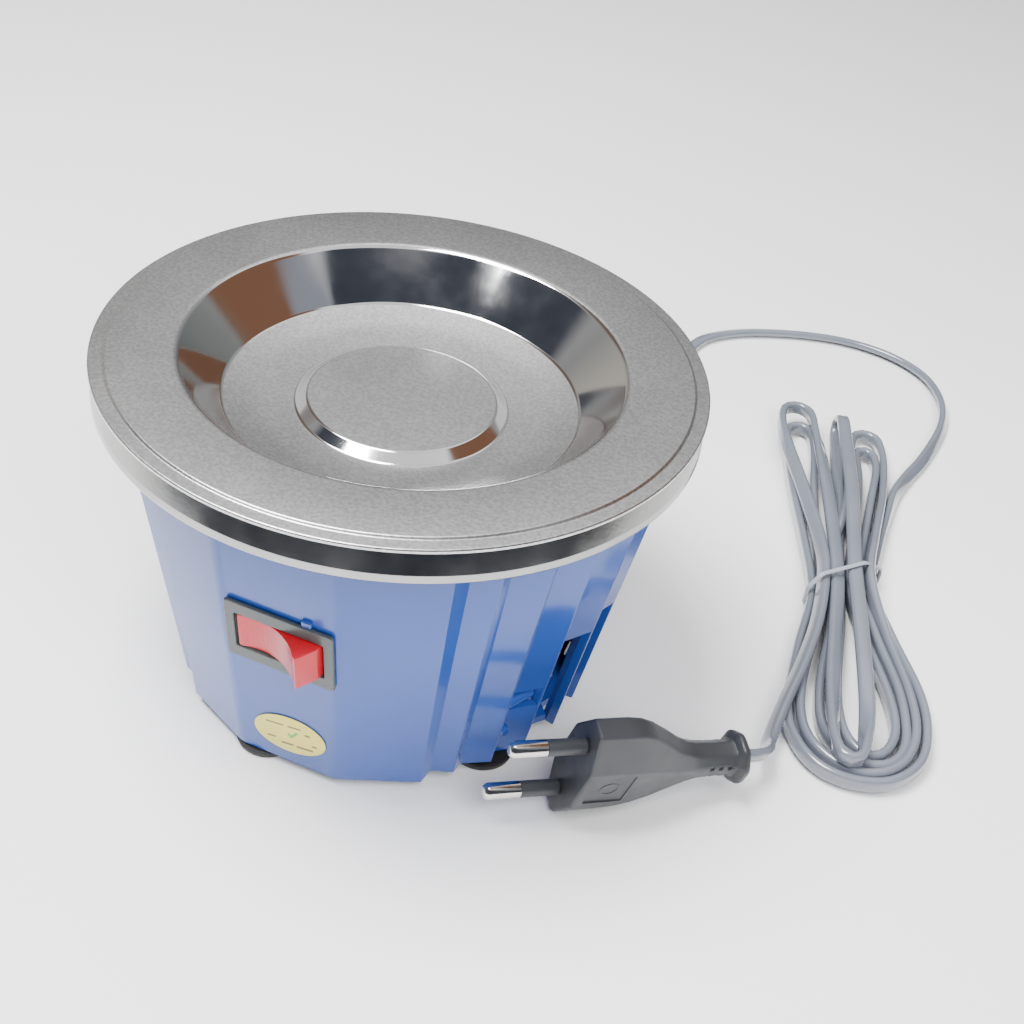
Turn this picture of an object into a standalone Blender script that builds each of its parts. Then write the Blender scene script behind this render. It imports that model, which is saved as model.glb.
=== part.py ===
"""Small electric pottery wheel: a pressed steel wheel head on a belt-driven spindle, a ribbed
plastic housing with a rocker switch and label, five rubber feet, and a mains lead tied in a hank.

Lengths are in millimetres and are turned into metres when a mesh is made. +Z is up, the wheel
turns about the Z axis, the switch faces -Y, and the feet stand on z = 0.
"""
from math import acos, asin, atan2, cos, degrees, hypot, pi, radians, sin, tau

import bmesh
import bpy
from mathutils import Matrix, Vector

MM = 0.001
GAP = 0.3                    # clearance between pieces that touch on the real object

# Wheel head
HEAD_RADIUS = 70.0
RIM_TOP = 89.8
SHEET = 0.8
BORDER_WIDTH = 3.6
MOUTH_RADIUS = 50.75
FLOOR_RADIUS = 41.6
WELL_DEPTH = 11.6
FLOOR_DIP = 2.4              # fall of the well's floor from its wall to the centre disc
DISC_RADIUS = 22.1
DISC_RISE = 2.1
DISC_SLOPE_WIDTH = 2.6
SKIRT_DEPTH = 9.9
STUD_CIRCLE = 14.0
HUB_THICK = 2.0
FLOOR_TOP = RIM_TOP - WELL_DEPTH
FLOOR_LOW = FLOOR_TOP - FLOOR_DIP
DISC_TOP = FLOOR_LOW + DISC_RISE
HEAD_STEPS = 48              # facets round the wheel head

# Housing
BASE_Z = 2.4
RIB_BASE_Z = 3.8
BASE_RADIUS = 51.6
FLARE = 0.136                # growth of the radius per unit of height
WALL = 2.2
WALL_TOP = 83.5
DECK_TOP = 72.2
DECK_BOTTOM = 70.0
DECK_HOLE = 15.0
FACET_HALF = 14.0            # half angle of the front panel's middle facet
PANEL_HALF = 36.5            # half angle of the whole front panel
RIB_STEP = 2.4               # depth of the step between two ribs
# Rib crests on one side, clockwise from the front, each with how far it stands out
CRESTS = [
    (45.4, -0.4), (56.5, 0.0), (67.4, 0.4), (79.6, 1.0), (91.8, 1.0), (103.8, 1.0), (115.3, 0.4),
    (126.0, 0.2), (135.2, 0.0),
]
RIB_FLARE = 0.03             # how much faster the ribs widen upwards than the panels
STEP_ANGLE = 3.0
VENT_HEIGHT = 39.0
VENT_ANGLES = (74.6, 86.8)
LATCH_ANGLES = (62.6, 110.2)
LATCH_Z = 24.0

# Base cover and feet
COVER_Z = 4.0
COVER_THICK = 2.0
FOOT_COUNT = 5
FOOT_START = -12.0
FOOT_CIRCLE = 44.0
FOOT_RADIUS = 8.0

# Spindle drive
SPINDLE_RADIUS = 4.0
BEARING_OUTER = 11.0
BEARING_WIDTH = 7.0
UPPER_BEARING_Z = 63.7
LOWER_BEARING_Z = 54.3
BELT_Z = 50.0
BELT_RADIUS = 1.5
LARGE_PITCH = 18.0
SMALL_PITCH = 5.0
MOTOR_Y = 29.0
MOTOR_RADIUS = 18.5
MOTOR_BOTTOM = 12.3
MOTOR_TOP = 40.7
SHAFT_RADIUS = 1.6
PLATE_Z = 41.0
PLATE_THICK = 1.5
PLATE_RADIUS = 46.5
PLATE_FRONT = -20.0
POST_CIRCLE = 40.0
POST_ANGLES = (72.0, 108.0, -72.0, -108.0)

# Switch and label
SWITCH_Z = 45.6
SWITCH_SHIFT = 0.5
BEZEL_WIDTH = 26.6
BEZEL_HEIGHT = 17.6
BEZEL_THICK = 0.9
CUTOUT_WIDTH = 24.4
CUTOUT_HEIGHT = 15.4
ROCKER_HALF = 9.1            # from the pin to each raised end
ROCKER_TIP = 5.3
ROCKER_HOLLOW = 3.0
ROCKER_HEIGHT = 10.0
ROCKER_TILT = 18.2           # the rocker rests with its left end pressed in
PIVOT_DEPTH = -1.0
LABEL_Z = 13.3
LABEL_WIDTH = 18.8
LABEL_HEIGHT = 12.4

# Mains lead: a flat twin lead, its plug and the hank it is tied in
CORD_WIDTH = 4.4
CORD_RADIUS = CORD_WIDTH / 2
GLAND_ANGLE = 154.0
GLAND_Z = 14.0
GLAND_REACH = 26.0
LEAD_ROUTE = [
    (38.4, 82.0, 5.6), (39.6, 89.0, 3.4), (39.6, 98.0, 2.4), (37.0, 115.0, 2.3), (32.5, 138.0, 2.3),
    (28.6, 162.0, 2.3), (26.6, 181.0, 2.3), (28.4, 194.5, 2.3), (34.0, 203.5, 2.3), (43.5, 211.5, 2.3),
    (58.0, 219.4, 2.3), (72.0, 223.8, 2.3), (84.4, 224.4, 2.3), (96.1, 221.6, 2.3), (106.2, 215.0, 2.3),
    (112.8, 205.3, 2.3), (116.1, 195.0, 2.3), (117.0, 183.7, 2.3), (116.0, 171.0, 2.3),
    (114.2, 159.4, 2.3), (112.0, 149.6, 2.4), (110.6, 143.6, 2.6),
]
TAIL_ROUTE = [(103.6, 5.2, 8.2), (103.8, 10.2, 5.4), (102.4, 15.4, 3.4)]
HANK_CENTRE = (105.6, 82.8)
HANK_HEADING = (0.262, -0.965)      # from the tie towards the hank's lower end
HANK_BOTTOM = 1.2
HANK_TOP = 12.0
# Half width of the hank at each distance along it from the tie
HANK_SHAPE = [
    (-93.0, 0.0), (-89.0, 9.5), (-78.0, 16.2), (-60.0, 16.4), (-35.0, 13.6), (-14.0, 11.2), (12.0, 11.4),
    (28.0, 16.4), (44.0, 20.2), (58.0, 19.4), (70.0, 13.2), (77.5, 0.0),
]
TIE_SLANT = 40.0
PLUG_FLANGE = (97.2, -4.6, 11.4)
PLUG_FACE = (64.0, -33.4, 18.0)
PLUG_ROLL = 14.0
PIN_SPACING = 18.6
PIN_LENGTH = 19.0
PIN_RADIUS = 2.0


# ---------------------------------------------------------------- helpers

def clear_scene():
    for old in list(bpy.data.objects):
        bpy.data.objects.remove(old, do_unlink=True)


def material(name, colour, roughness, metallic=0.0):
    made = bpy.data.materials.new(name)
    made.use_nodes = True
    shader = made.node_tree.nodes["Principled BSDF"]
    shader.inputs["Base Color"].default_value = (*colour, 1.0)
    shader.inputs["Roughness"].default_value = roughness
    shader.inputs["Metallic"].default_value = metallic
    made.diffuse_color = (*colour, 1.0)
    return made


def make(name, solids, surface, frame=None, crease=30.0):
    """Make one object from a list of closed solids, each a pair of points and faces.

    frame, a Matrix in millimetres, becomes the object's own placement."""
    points = []
    faces = []
    for solid_points, solid_faces in solids:
        start = len(points)
        points += [tuple(MM * value for value in point) for point in solid_points]
        faces += [[start + index for index in face] for face in solid_faces]
    mesh = bpy.data.meshes.new(name)
    mesh.from_pydata(points, [], faces)
    shell = bmesh.new()
    shell.from_mesh(mesh)
    bmesh.ops.recalc_face_normals(shell, faces=shell.faces)
    shell.to_mesh(mesh)
    shell.free()
    mesh.materials.append(surface)
    mesh.shade_smooth()
    mesh.set_sharp_from_angle(angle=radians(crease))
    made = bpy.data.objects.new(name, mesh)
    bpy.context.collection.objects.link(made)
    if frame is not None:
        placed = frame.copy()
        placed.translation = frame.translation * MM
        made.matrix_world = placed
    return made


def combine(target, operation, solids, frame=None):
    """Cut solids out of target, or join them to it, with an exact Boolean."""
    name = f"{target.name}_{operation.lower()}_{len(target.modifiers)}"
    tool = make(name, solids, target.data.materials[0], frame)
    tool.hide_render = True
    tool.display_type = "WIRE"
    step = target.modifiers.new(operation.title(), "BOOLEAN")
    step.operation = operation
    step.object = tool


def cut(target, solids, frame=None):
    combine(target, "DIFFERENCE", solids, frame)


def fuse(target, solids, frame=None):
    combine(target, "UNION", solids, frame)


def skin(loops, closed=False):
    """Join loops of equally many points with quads. The ends are capped unless closed."""
    count = len(loops[0])
    points = [point for loop in loops for point in loop]
    spans = len(loops) if closed else len(loops) - 1
    faces = []
    for row in range(spans):
        lower = row * count
        upper = (row + 1) % len(loops) * count
        for side in range(count):
            after = (side + 1) % count
            faces.append([lower + side, lower + after, upper + after, upper + side])
    if not closed:
        faces.append(list(range(count)))
        faces.append(list(range(spans * count, (spans + 1) * count)))
    return points, faces


def turned(profile, steps=32):
    """Turn a closed profile of (radius, height) points about the Z axis."""
    points = []
    rows = []
    for radius, height in profile:
        if radius < 1e-6:
            rows.append([len(points)] * steps)
            points.append((0.0, 0.0, height))
            continue
        rows.append(list(range(len(points), len(points) + steps)))
        turns = [tau * i / steps for i in range(steps)]
        points += [(radius * cos(turn), radius * sin(turn), height) for turn in turns]
    faces = []
    for row, after in zip(rows, rows[1:] + rows[:1]):
        for i in range(steps):
            j = (i + 1) % steps
            face = []
            for index in (row[i], row[j], after[j], after[i]):
                if index not in face:
                    face.append(index)
            if len(face) > 2:
                faces.append(face)
    return points, faces


def ring(inner, outer, low, high, steps=32):
    return turned([(inner, low), (outer, low), (outer, high), (inner, high)], steps)


def disc(radius, low, high, steps=32):
    return turned([(0.0, low), (radius, low), (radius, high), (0.0, high)], steps)


def prism(outline, low, high):
    return skin([[(x, y, low) for x, y in outline], [(x, y, high) for x, y in outline]])


def box(size, centre=(0.0, 0.0, 0.0)):
    half_x, half_y, half_z = (value / 2 for value in size)
    corners = [(-half_x, -half_y), (half_x, -half_y), (half_x, half_y), (-half_x, half_y)]
    return moved(prism(corners, -half_z, half_z), Matrix.Translation(centre))


def moved(solid, frame):
    points, faces = solid
    return [tuple(frame @ Vector(point)) for point in points], faces


def frame_along(start, heading, sideways=(0.0, 0.0, 1.0)):
    """Placement whose Z axis runs along heading and whose X axis leans towards sideways."""
    along = Vector(heading).normalized()
    across = Vector(sideways)
    across = (across - along * across.dot(along)).normalized()
    frame = Matrix((across, along.cross(across), along)).transposed().to_4x4()
    frame.translation = Vector(start)
    return frame


def polar(angle, radius, height=0.0):
    """Point at an angle from the front (-Y), growing towards +X."""
    return (radius * sin(radians(angle)), -radius * cos(radians(angle)), height)


def smooth_curve(route, spacing, closed=False):
    """Points about spacing apart along a Catmull-Rom curve through the route."""
    knots = [Vector(point) for point in route]
    if closed:
        knots = [knots[-1]] + knots + knots[:2]
    else:
        knots = [2 * knots[0] - knots[1]] + knots + [2 * knots[-1] - knots[-2]]
    fine = []
    for before, start, end, after in zip(knots, knots[1:], knots[2:], knots[3:]):
        for step in range(24):
            t = step / 24
            square = 2 * before - 5 * start + 4 * end - after
            cube = 3 * start - before - 3 * end + after
            fine.append(0.5 * (2 * start + (end - before) * t + square * t ** 2 + cube * t ** 3))
    if not closed:
        fine.append(knots[-2])
    total = sum((b - a).length for a, b in zip(fine, fine[1:]))
    count = max(2, round(total / spacing))
    picked = [fine[0]]
    walked = 0.0
    for a, b in zip(fine, fine[1:]):
        walked += (b - a).length
        if walked >= total * len(picked) / count - 1e-6 and len(picked) <= count:
            picked.append(b)
    return picked


def sweep(path, radius, sides=8, closed=False):
    """A round tube along a path of Vectors."""
    loops = []
    across = Vector((0.0, 0.0, 1.0))
    for i, point in enumerate(path):
        before = path[i - 1] if i or closed else path[0]
        after = path[(i + 1) % len(path)] if i + 1 < len(path) or closed else path[-1]
        along = (after - before).normalized()
        if abs(along.dot(across)) > 0.95:
            across = Vector((1.0, 0.0, 0.0))
        across = (across - along * across.dot(along)).normalized()
        other = along.cross(across)
        loops.append([tuple(point + radius * (cos(tau * k / sides) * across + sin(tau * k / sides) * other))
                      for k in range(sides)])
    return skin(loops, closed)


def screw(head_radius, head_height, shank_radius, shank_length):
    """A pan-head screw pointing up, with the underside of its head at the origin."""
    profile = [
        (0.0, shank_length), (shank_radius, shank_length), (shank_radius, 0.0), (head_radius, 0.0),
        (head_radius, -0.6 * head_height), (0.6 * head_radius, -head_height), (0.0, -head_height),
    ]
    return turned(profile, 10)


# ---------------------------------------------------------------- wheel head

def wheel_dish(steel):
    """Pressed dish: rim with a lowered border, a sloping well, and a raised centre disc."""
    border = HEAD_RADIUS - BORDER_WIDTH
    slope_foot = DISC_RADIUS + DISC_SLOPE_WIDTH
    floor_middle = (slope_foot + FLOOR_RADIUS) / 2
    top = [
        (0.0, DISC_TOP), (DISC_RADIUS - 0.6, DISC_TOP), (DISC_RADIUS, DISC_TOP - 0.2),
        (slope_foot - 0.4, FLOOR_LOW + 0.2), (slope_foot + 0.2, FLOOR_LOW),
        (floor_middle, FLOOR_LOW + 0.35 * FLOOR_DIP), (FLOOR_RADIUS - 1.2, FLOOR_TOP - 0.15),
        (FLOOR_RADIUS - 0.3, FLOOR_TOP + 0.3),
        (FLOOR_RADIUS + 0.6, FLOOR_TOP + 1.2), (MOUTH_RADIUS - 1.0, RIM_TOP - 1.7),
        (MOUTH_RADIUS, RIM_TOP - 0.7), (MOUTH_RADIUS + 1.1, RIM_TOP - 0.15), (MOUTH_RADIUS + 2.3, RIM_TOP),
        (border - 0.5, RIM_TOP), (border + 0.2, RIM_TOP - 0.45), (HEAD_RADIUS - 0.9, RIM_TOP - 0.5),
        (HEAD_RADIUS - 0.25, RIM_TOP - 0.75), (HEAD_RADIUS, RIM_TOP - 1.2),
    ]
    under = [
        (HEAD_RADIUS - 0.35, RIM_TOP - 1.5), (HEAD_RADIUS - 1.1, RIM_TOP - 1.3),
        (border - 0.2, RIM_TOP - 1.25), (border - 0.9, RIM_TOP - SHEET),
        (MOUTH_RADIUS + 2.0, RIM_TOP - SHEET), (MOUTH_RADIUS + 0.7, RIM_TOP - 1.3),
        (FLOOR_RADIUS + 1.2, FLOOR_TOP + 0.7),
        (FLOOR_RADIUS - 0.2, FLOOR_TOP - SHEET), (floor_middle, FLOOR_LOW + 0.35 * FLOOR_DIP - SHEET),
        (slope_foot - 0.2, FLOOR_LOW - SHEET), (DISC_RADIUS - 0.5, DISC_TOP - 0.1 - SHEET),
        (0.0, DISC_TOP - SHEET),
    ]
    dish = make("wheel_dish", [turned(top + under, HEAD_STEPS)], steel, crease=40)
    stud_low = hub_flange_low() - 2.1
    studs = [disc_at(place, 1.5, stud_low, DISC_TOP - SHEET / 2) for place in stud_places()]
    fuse(dish, studs)


def wheel_skirt(steel):
    """Drip skirt under the rim, with a bead rolled along its lower edge."""
    top = RIM_TOP - 1.5 - GAP
    low = RIM_TOP - SKIRT_DEPTH
    outer = [(-6.5, top), (-1.7, top), (-0.9, top - 0.6), (-0.6, top - 2.0), (-0.1, top - 4.6),
             (-0.2, low + 1.6), (-0.9, low + 0.3), (-1.6, low)]
    inner = [(-2.1, low + 0.5), (-1.3, low + 1.6), (-0.9, top - 4.6), (-1.4, top - 2.0), (-2.0, top - SHEET),
             (-6.5, top - SHEET)]
    profile = [(HEAD_RADIUS + inset, height) for inset, height in outer + inner]
    make("wheel_skirt", [turned(profile, HEAD_STEPS)], steel, crease=40)


def stud_places():
    return [polar(angle, STUD_CIRCLE) for angle in (60.0, 180.0, 300.0)]


def hub_flange_low():
    return DISC_TOP - SHEET - GAP - HUB_THICK


def hub(metal, zinc):
    """Hub flange bolted under the dish by the dish's three weld studs, and their nuts."""
    flange_low = hub_flange_low()
    flange_top = flange_low + HUB_THICK
    boss_low = UPPER_BEARING_Z + BEARING_WIDTH + GAP
    bore = SPINDLE_RADIUS + GAP
    profile = [(bore, boss_low), (8.0, boss_low), (8.0, flange_low), (20.5, flange_low),
               (20.5, flange_top - 0.5), (20.0, flange_top), (bore, flange_top)]
    made = make("hub", [turned(profile, 28)], metal)
    cut(made, [disc_at(place, 1.9, flange_low - 3.0, flange_top + 3.0) for place in stud_places()])
    nut = ring(1.5 + GAP, 3.1, flange_low - 2.0, flange_low - GAP, 6)
    for number, place in enumerate(stud_places(), 1):
        make(f"hub_nut_{number}", [nut], zinc, Matrix.Translation(place))


def spindle(steel):
    low = 44.2
    high = DISC_TOP - SHEET - 0.6
    radius = SPINDLE_RADIUS
    profile = [(0.0, low), (radius - 0.6, low), (radius, low + 0.6), (radius, high - 0.6),
               (radius - 0.6, high), (0.0, high)]
    make("spindle", [turned(profile, 16)], steel)


# ---------------------------------------------------------------- housing

def shell_radius(height):
    return BASE_RADIUS + FLARE * (height - BASE_Z)


def housing_corners():
    """(angle, inset, is_panel) of the housing's corners, from the front round to the front."""
    side = [(FACET_HALF, 0.0, True), (PANEL_HALF, 0.0, True)]
    side.append((PANEL_HALF + STEP_ANGLE, RIB_STEP, False))
    for angle, proud in CRESTS:
        side.append((angle, -proud, False))
        side.append((angle + STEP_ANGLE, RIB_STEP - 0.4 * proud, False))
    side += [(180.0 - PANEL_HALF, 0.0, True), (180.0 - FACET_HALF, 0.0, True)]
    other = [(360.0 - angle, inset, panel) for angle, inset, panel in reversed(side)]
    return side + other


def housing_loop(height, inset=0.0):
    """The outline at a height, or along the stepped lower edge when height is None."""
    loop = []
    for angle, own, panel in housing_corners():
        level = (BASE_Z if panel else RIB_BASE_Z) if height is None else height
        widening = 0.0 if panel else RIB_FLARE * (level - BASE_Z)
        loop.append(polar(angle, shell_radius(level) + widening - own - inset, level))
    return loop


def hole_loop(height):
    return [polar(angle, DECK_HOLE, height) for angle, _, _ in housing_corners()]


def facet_frame(angle, height, half_angle=FACET_HALF):
    """Placement on a flat facet: X along it, Y up it, Z out of it."""
    flat = cos(radians(half_angle))
    out = Vector(polar(angle, 1.0))
    up = (Vector((0.0, 0.0, 1.0)) + out * FLARE * flat).normalized()
    side = Vector((cos(radians(angle)), sin(radians(angle)), 0.0))
    frame = Matrix((side, up, side.cross(up))).transposed().to_4x4()
    frame.translation = out * shell_radius(height) * flat + Vector((0.0, 0.0, height))
    return frame


def gland_frame():
    return facet_frame(GLAND_ANGLE, GLAND_Z, (PANEL_HALF - FACET_HALF) / 2)


def both_sides(angles):
    return [sign * angle for angle in angles for sign in (1.0, -1.0)]


def radial_box(angle, radius, size, height):
    """A box of (across, radial, tall) size, turned to face out at an angle."""
    turn = Matrix.Rotation(radians(angle), 4, "Z")
    return moved(box(size, (0.0, -radius, height)), turn)


def housing(plastic):
    """Ribbed tub with a deck near its top, open below."""
    loops = [
        housing_loop(None), housing_loop(WALL_TOP), housing_loop(WALL_TOP, WALL),
        housing_loop(DECK_TOP, WALL), hole_loop(DECK_TOP), hole_loop(DECK_BOTTOM),
        housing_loop(DECK_BOTTOM, WALL), housing_loop(None, WALL),
    ]
    shell = make("housing", [skin(loops, closed=True)], plastic, crease=12)
    vents = [radial_box(angle, BASE_RADIUS + 2.0, (9.0, 16.0, VENT_HEIGHT), VENT_HEIGHT / 2)
             for angle in both_sides(VENT_ANGLES)]
    latches = [radial_box(angle, BASE_RADIUS + 2.0, (8.0, 14.0, 6.4), LATCH_Z)
               for angle in both_sides(LATCH_ANGLES)]
    cut(shell, vents + latches)
    cut(shell, [box((CUTOUT_WIDTH + 2 * GAP, CUTOUT_HEIGHT + 2 * GAP, 12.0))], switch_seat())
    cut(shell, [disc(4.5, -9.0, 6.0, 24)], gland_frame())
    cut(shell, [disc_at(place, 1.9, DECK_BOTTOM - 2.0, DECK_TOP + 2.0)
                for place in bearing_screw_places() + post_places()])


def disc_at(place, radius, low, high, steps=12):
    x, y = place[:2]
    return moved(disc(radius, low, high, steps), Matrix.Translation((x, y, 0.0)))


def post_places():
    return [polar(angle, POST_CIRCLE) for angle in POST_ANGLES]


def bearing_screw_places():
    return [polar(angle, 19.5) for angle in (45.0, 135.0, 225.0, 315.0)]


# ---------------------------------------------------------------- base

def foot_places():
    return [polar(FOOT_START + 360.0 * i / FOOT_COUNT, FOOT_CIRCLE) for i in range(FOOT_COUNT)]


def base_cover(plastic):
    """Closes the tub from below: a plate with foot bosses, air baffles and snap hooks."""
    outline = [point[:2] for point in housing_loop(COVER_Z, WALL + 0.35)]
    cover = make("base_cover", [prism(outline, COVER_Z, COVER_Z + COVER_THICK)], plastic)
    bosses = [disc_at(place, 3.1, COVER_Z + 0.5, COVER_Z + 7.0) for place in foot_places()]
    fuse(cover, bosses)
    baffles = []
    hooks = []
    for sign in (1.0, -1.0):
        arc = [sign * angle for angle in (68.0, 74.5, 81.0, 87.5, 94.0)]
        inner = [polar(angle, 45.0)[:2] for angle in arc]
        outer = [polar(angle, 46.6)[:2] for angle in reversed(arc)]
        baffles.append(prism(inner + outer, COVER_Z + 0.5, VENT_HEIGHT + 1.0))
    for angle in both_sides(LATCH_ANGLES):
        hooks.append(radial_box(angle, 45.6, (6.0, 1.8, 19.0), 14.0))
    fuse(cover, baffles)
    fuse(cover, hooks)
    noses = []
    for angle in both_sides(LATCH_ANGLES):
        start = Vector(polar(angle, 48.0, LATCH_Z + 0.4))
        across = Vector(polar(angle + 90.0, 1.0))
        noses.append(moved(disc(2.2, -3.4, 3.4, 12), frame_along(start, across)))
    fuse(cover, noses)
    cut(cover, [disc_at(place, 1.7, COVER_Z - 2.0, COVER_Z + 5.6) for place in foot_places()])


def feet(rubber, zinc):
    """Stepped rubber feet, each with a recessed screw up into the base cover."""
    neck_top = COVER_Z - GAP
    shoulder = BASE_Z - GAP
    profile = [(1.8, 1.5), (3.4, 1.5), (3.4, 0.0), (FOOT_RADIUS - 0.8, 0.0), (FOOT_RADIUS, 0.7),
               (FOOT_RADIUS, shoulder - 0.2), (FOOT_RADIUS - 0.2, shoulder), (3.9, shoulder), (3.9, neck_top),
               (1.8, neck_top)]
    for number, place in enumerate(foot_places(), 1):
        make(f"foot_{number}", [turned(profile, 18)], rubber, Matrix.Translation(place))
        seat = Matrix.Translation((place[0], place[1], 1.5 - 0.1))
        make(f"foot_screw_{number}", [screw(2.8, 1.2, 1.3, 7.0)], zinc, seat)


# ---------------------------------------------------------------- drive

def bearing_housing(metal):
    body = 14.0
    low = LOWER_BEARING_Z - 0.6
    high = UPPER_BEARING_Z + BEARING_WIDTH + 0.2
    flange_high = DECK_BOTTOM - GAP
    seat = BEARING_OUTER + GAP
    profile = [(seat, low), (body, low), (body, flange_high - 2.8), (24.0, flange_high - 2.8),
               (24.0, flange_high), (body, flange_high), (body, high), (seat, high),
               (seat, UPPER_BEARING_Z - GAP),
               (9.3, UPPER_BEARING_Z - GAP), (9.3, LOWER_BEARING_Z + BEARING_WIDTH + GAP),
               (seat, LOWER_BEARING_Z + BEARING_WIDTH + GAP)]
    made = make("bearing_housing", [turned(profile, 28)], metal)
    cut(made, [disc_at(place, 1.8, flange_high - 4.0, flange_high + 1.0) for place in bearing_screw_places()])


def bearings(steel):
    """Two shielded ball bearings, each an outer ring with its shields and an inner ring."""
    for name, low in (("upper", UPPER_BEARING_Z), ("lower", LOWER_BEARING_Z)):
        high = low + BEARING_WIDTH
        outer = [(6.1, low + 0.3), (9.4, low + 0.3), (9.4, low), (BEARING_OUTER, low), (BEARING_OUTER, high),
                 (9.4, high), (9.4, high - 0.3), (6.1, high - 0.3), (6.1, high - 1.0), (9.0, high - 1.0),
                 (9.0, low + 1.0), (6.1, low + 1.0)]
        make(f"bearing_outer_{name}", [turned(outer, 24)], steel)
        make(f"bearing_inner_{name}", [ring(SPINDLE_RADIUS + 0.15, 5.7, low, high, 24)], steel)


def groove(pitch, steps=5):
    """The half-round belt groove of a pulley, as profile points from bottom to top."""
    radius = BELT_RADIUS + GAP
    lip = pitch + 1.0
    edge = acos((lip - pitch) / radius)
    return [(pitch + radius * cos(turn), BELT_Z + radius * sin(turn))
            for turn in (edge + (tau - 2 * edge) * i / steps for i in reversed(range(steps + 1)))]


def pulleys(plastic, brass):
    """Large pulley on the spindle and small one on the motor, with belt grooves level."""
    bore = SPINDLE_RADIUS + GAP
    half = 3.0
    rim = LARGE_PITCH + 1.0
    web = 12.0
    large = [(bore, 44.6), (7.5, 44.6), (7.5, BELT_Z - 1.5), (web, BELT_Z - 1.5), (web, BELT_Z - half),
             (rim, BELT_Z - half)]
    large += groove(LARGE_PITCH)
    large += [(rim, BELT_Z + half), (web, BELT_Z + half), (web, BELT_Z + 1.5), (7.5, BELT_Z + 1.5),
              (7.5, LOWER_BEARING_Z - 0.9), (bore, LOWER_BEARING_Z - 0.9)]
    make("large_pulley", [turned(large, 36)], plastic)
    bore = SHAFT_RADIUS + GAP
    rim = SMALL_PITCH + 1.0
    small = [(bore, 46.0), (rim, 46.0)] + groove(SMALL_PITCH) + [(rim, 53.6), (bore, 53.6)]
    make("small_pulley", [turned(small, 16)], brass, Matrix.Translation((0.0, MOTOR_Y, 0.0)))


def drive_belt(rubber):
    """Round belt round both pulleys, on their pitch circles."""
    lean = asin((LARGE_PITCH - SMALL_PITCH) / MOTOR_Y)
    path = []
    for i in range(21):
        turn = -pi - lean + (pi + 2 * lean) * i / 20
        path.append(Vector((LARGE_PITCH * cos(turn), LARGE_PITCH * sin(turn), BELT_Z)))
    for i in range(7):
        turn = lean + (pi - 2 * lean) * i / 6
        path.append(Vector((SMALL_PITCH * cos(turn), MOTOR_Y + SMALL_PITCH * sin(turn), BELT_Z)))
    make("drive_belt", [sweep(path, BELT_RADIUS, closed=True)], rubber)


def motor(steel, zinc, iron, copper):
    """Offset motor under its plate: can, two end caps, stator, windings, rotor and shaft."""
    place = Matrix.Translation((0.0, MOTOR_Y, 0.0))
    cap = 2.4
    low = MOTOR_BOTTOM + cap + GAP
    high = MOTOR_TOP - cap - GAP
    make("motor_can", [ring(MOTOR_RADIUS - 1.0, MOTOR_RADIUS, low, high, 28)], steel, place)
    hole = SHAFT_RADIUS + GAP
    front = [(hole, MOTOR_TOP - cap), (MOTOR_RADIUS, MOTOR_TOP - cap), (MOTOR_RADIUS, MOTOR_TOP - 0.4),
             (MOTOR_RADIUS - 0.6, MOTOR_TOP), (5.0, MOTOR_TOP), (5.0, MOTOR_TOP + 2.2),
             (hole, MOTOR_TOP + 2.2)]
    made = make("motor_front_cap", [turned(front, 28)], zinc, place)
    cut(made, [disc_at(spot, 1.5, MOTOR_TOP - 5.0, MOTOR_TOP + 1.0) for spot in motor_screw_places()])
    rear = [(hole, MOTOR_BOTTOM - 2.0), (4.5, MOTOR_BOTTOM - 2.0), (4.5, MOTOR_BOTTOM),
            (MOTOR_RADIUS - 0.6, MOTOR_BOTTOM), (MOTOR_RADIUS, MOTOR_BOTTOM + 0.4),
            (MOTOR_RADIUS, MOTOR_BOTTOM + cap), (hole, MOTOR_BOTTOM + cap)]
    make("motor_rear_cap", [turned(rear, 28)], zinc, place)
    core_low = 20.0
    core_high = 33.0
    make("motor_stator", [ring(10.9, MOTOR_RADIUS - 1.3, core_low, core_high, 28)], iron, place)
    for name, z in (("lower", core_low - 3.2), ("upper", core_high + 0.4)):
        coil = turned([(11.4, z), (16.0, z), (16.6, z + 1.4), (16.0, z + 2.8), (11.4, z + 2.8)], 20)
        make(f"motor_winding_{name}", [coil], copper, place)
    make("motor_rotor", [ring(hole, 10.3, core_low - 0.5, core_high + 0.5, 24)], iron, place)
    make("motor_shaft", [disc(SHAFT_RADIUS, MOTOR_BOTTOM - 2.6, 54.4, 16)], steel, place)


def motor_screw_places():
    return [(x, MOTOR_Y + y, 0.0) for x, y in ((11.5, 0.0), (-11.5, 0.0), (0.0, 11.5), (0.0, -11.5))]


def motor_plate(zinc):
    """Steel plate that carries the motor, hung from the deck on four posts."""
    limit = degrees(acos(-PLATE_FRONT / PLATE_RADIUS))
    steps = 24
    span = 360.0 - 2 * limit
    outline = [polar(limit + span * i / steps, PLATE_RADIUS)[:2] for i in range(steps + 1)]
    plate = make("motor_plate", [prism(outline, PLATE_Z, PLATE_Z + PLATE_THICK)], zinc)
    low = PLATE_Z - 1.0
    high = PLATE_Z + PLATE_THICK + 1.0
    holes = [disc_at((0.0, MOTOR_Y), 5.4, low, high, 20)]
    holes += [disc_at(spot, 1.6, low, high) for spot in motor_screw_places()]
    holes += [disc_at(spot, 1.8, low, high) for spot in post_places()]
    cut(plate, holes)
    foot = PLATE_Z + PLATE_THICK + GAP
    head = DECK_BOTTOM - GAP
    profile = [(0.0, foot + 7.0), (1.8, foot + 7.0), (1.8, foot), (3.2, foot), (3.2, head), (1.8, head),
               (1.8, head - 7.0), (0.0, head - 7.0)]
    post = turned(profile, 6)
    for number, spot in enumerate(post_places(), 1):
        make(f"post_{number}", [post], zinc, Matrix.Translation(spot))


# ---------------------------------------------------------------- switch and label

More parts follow.
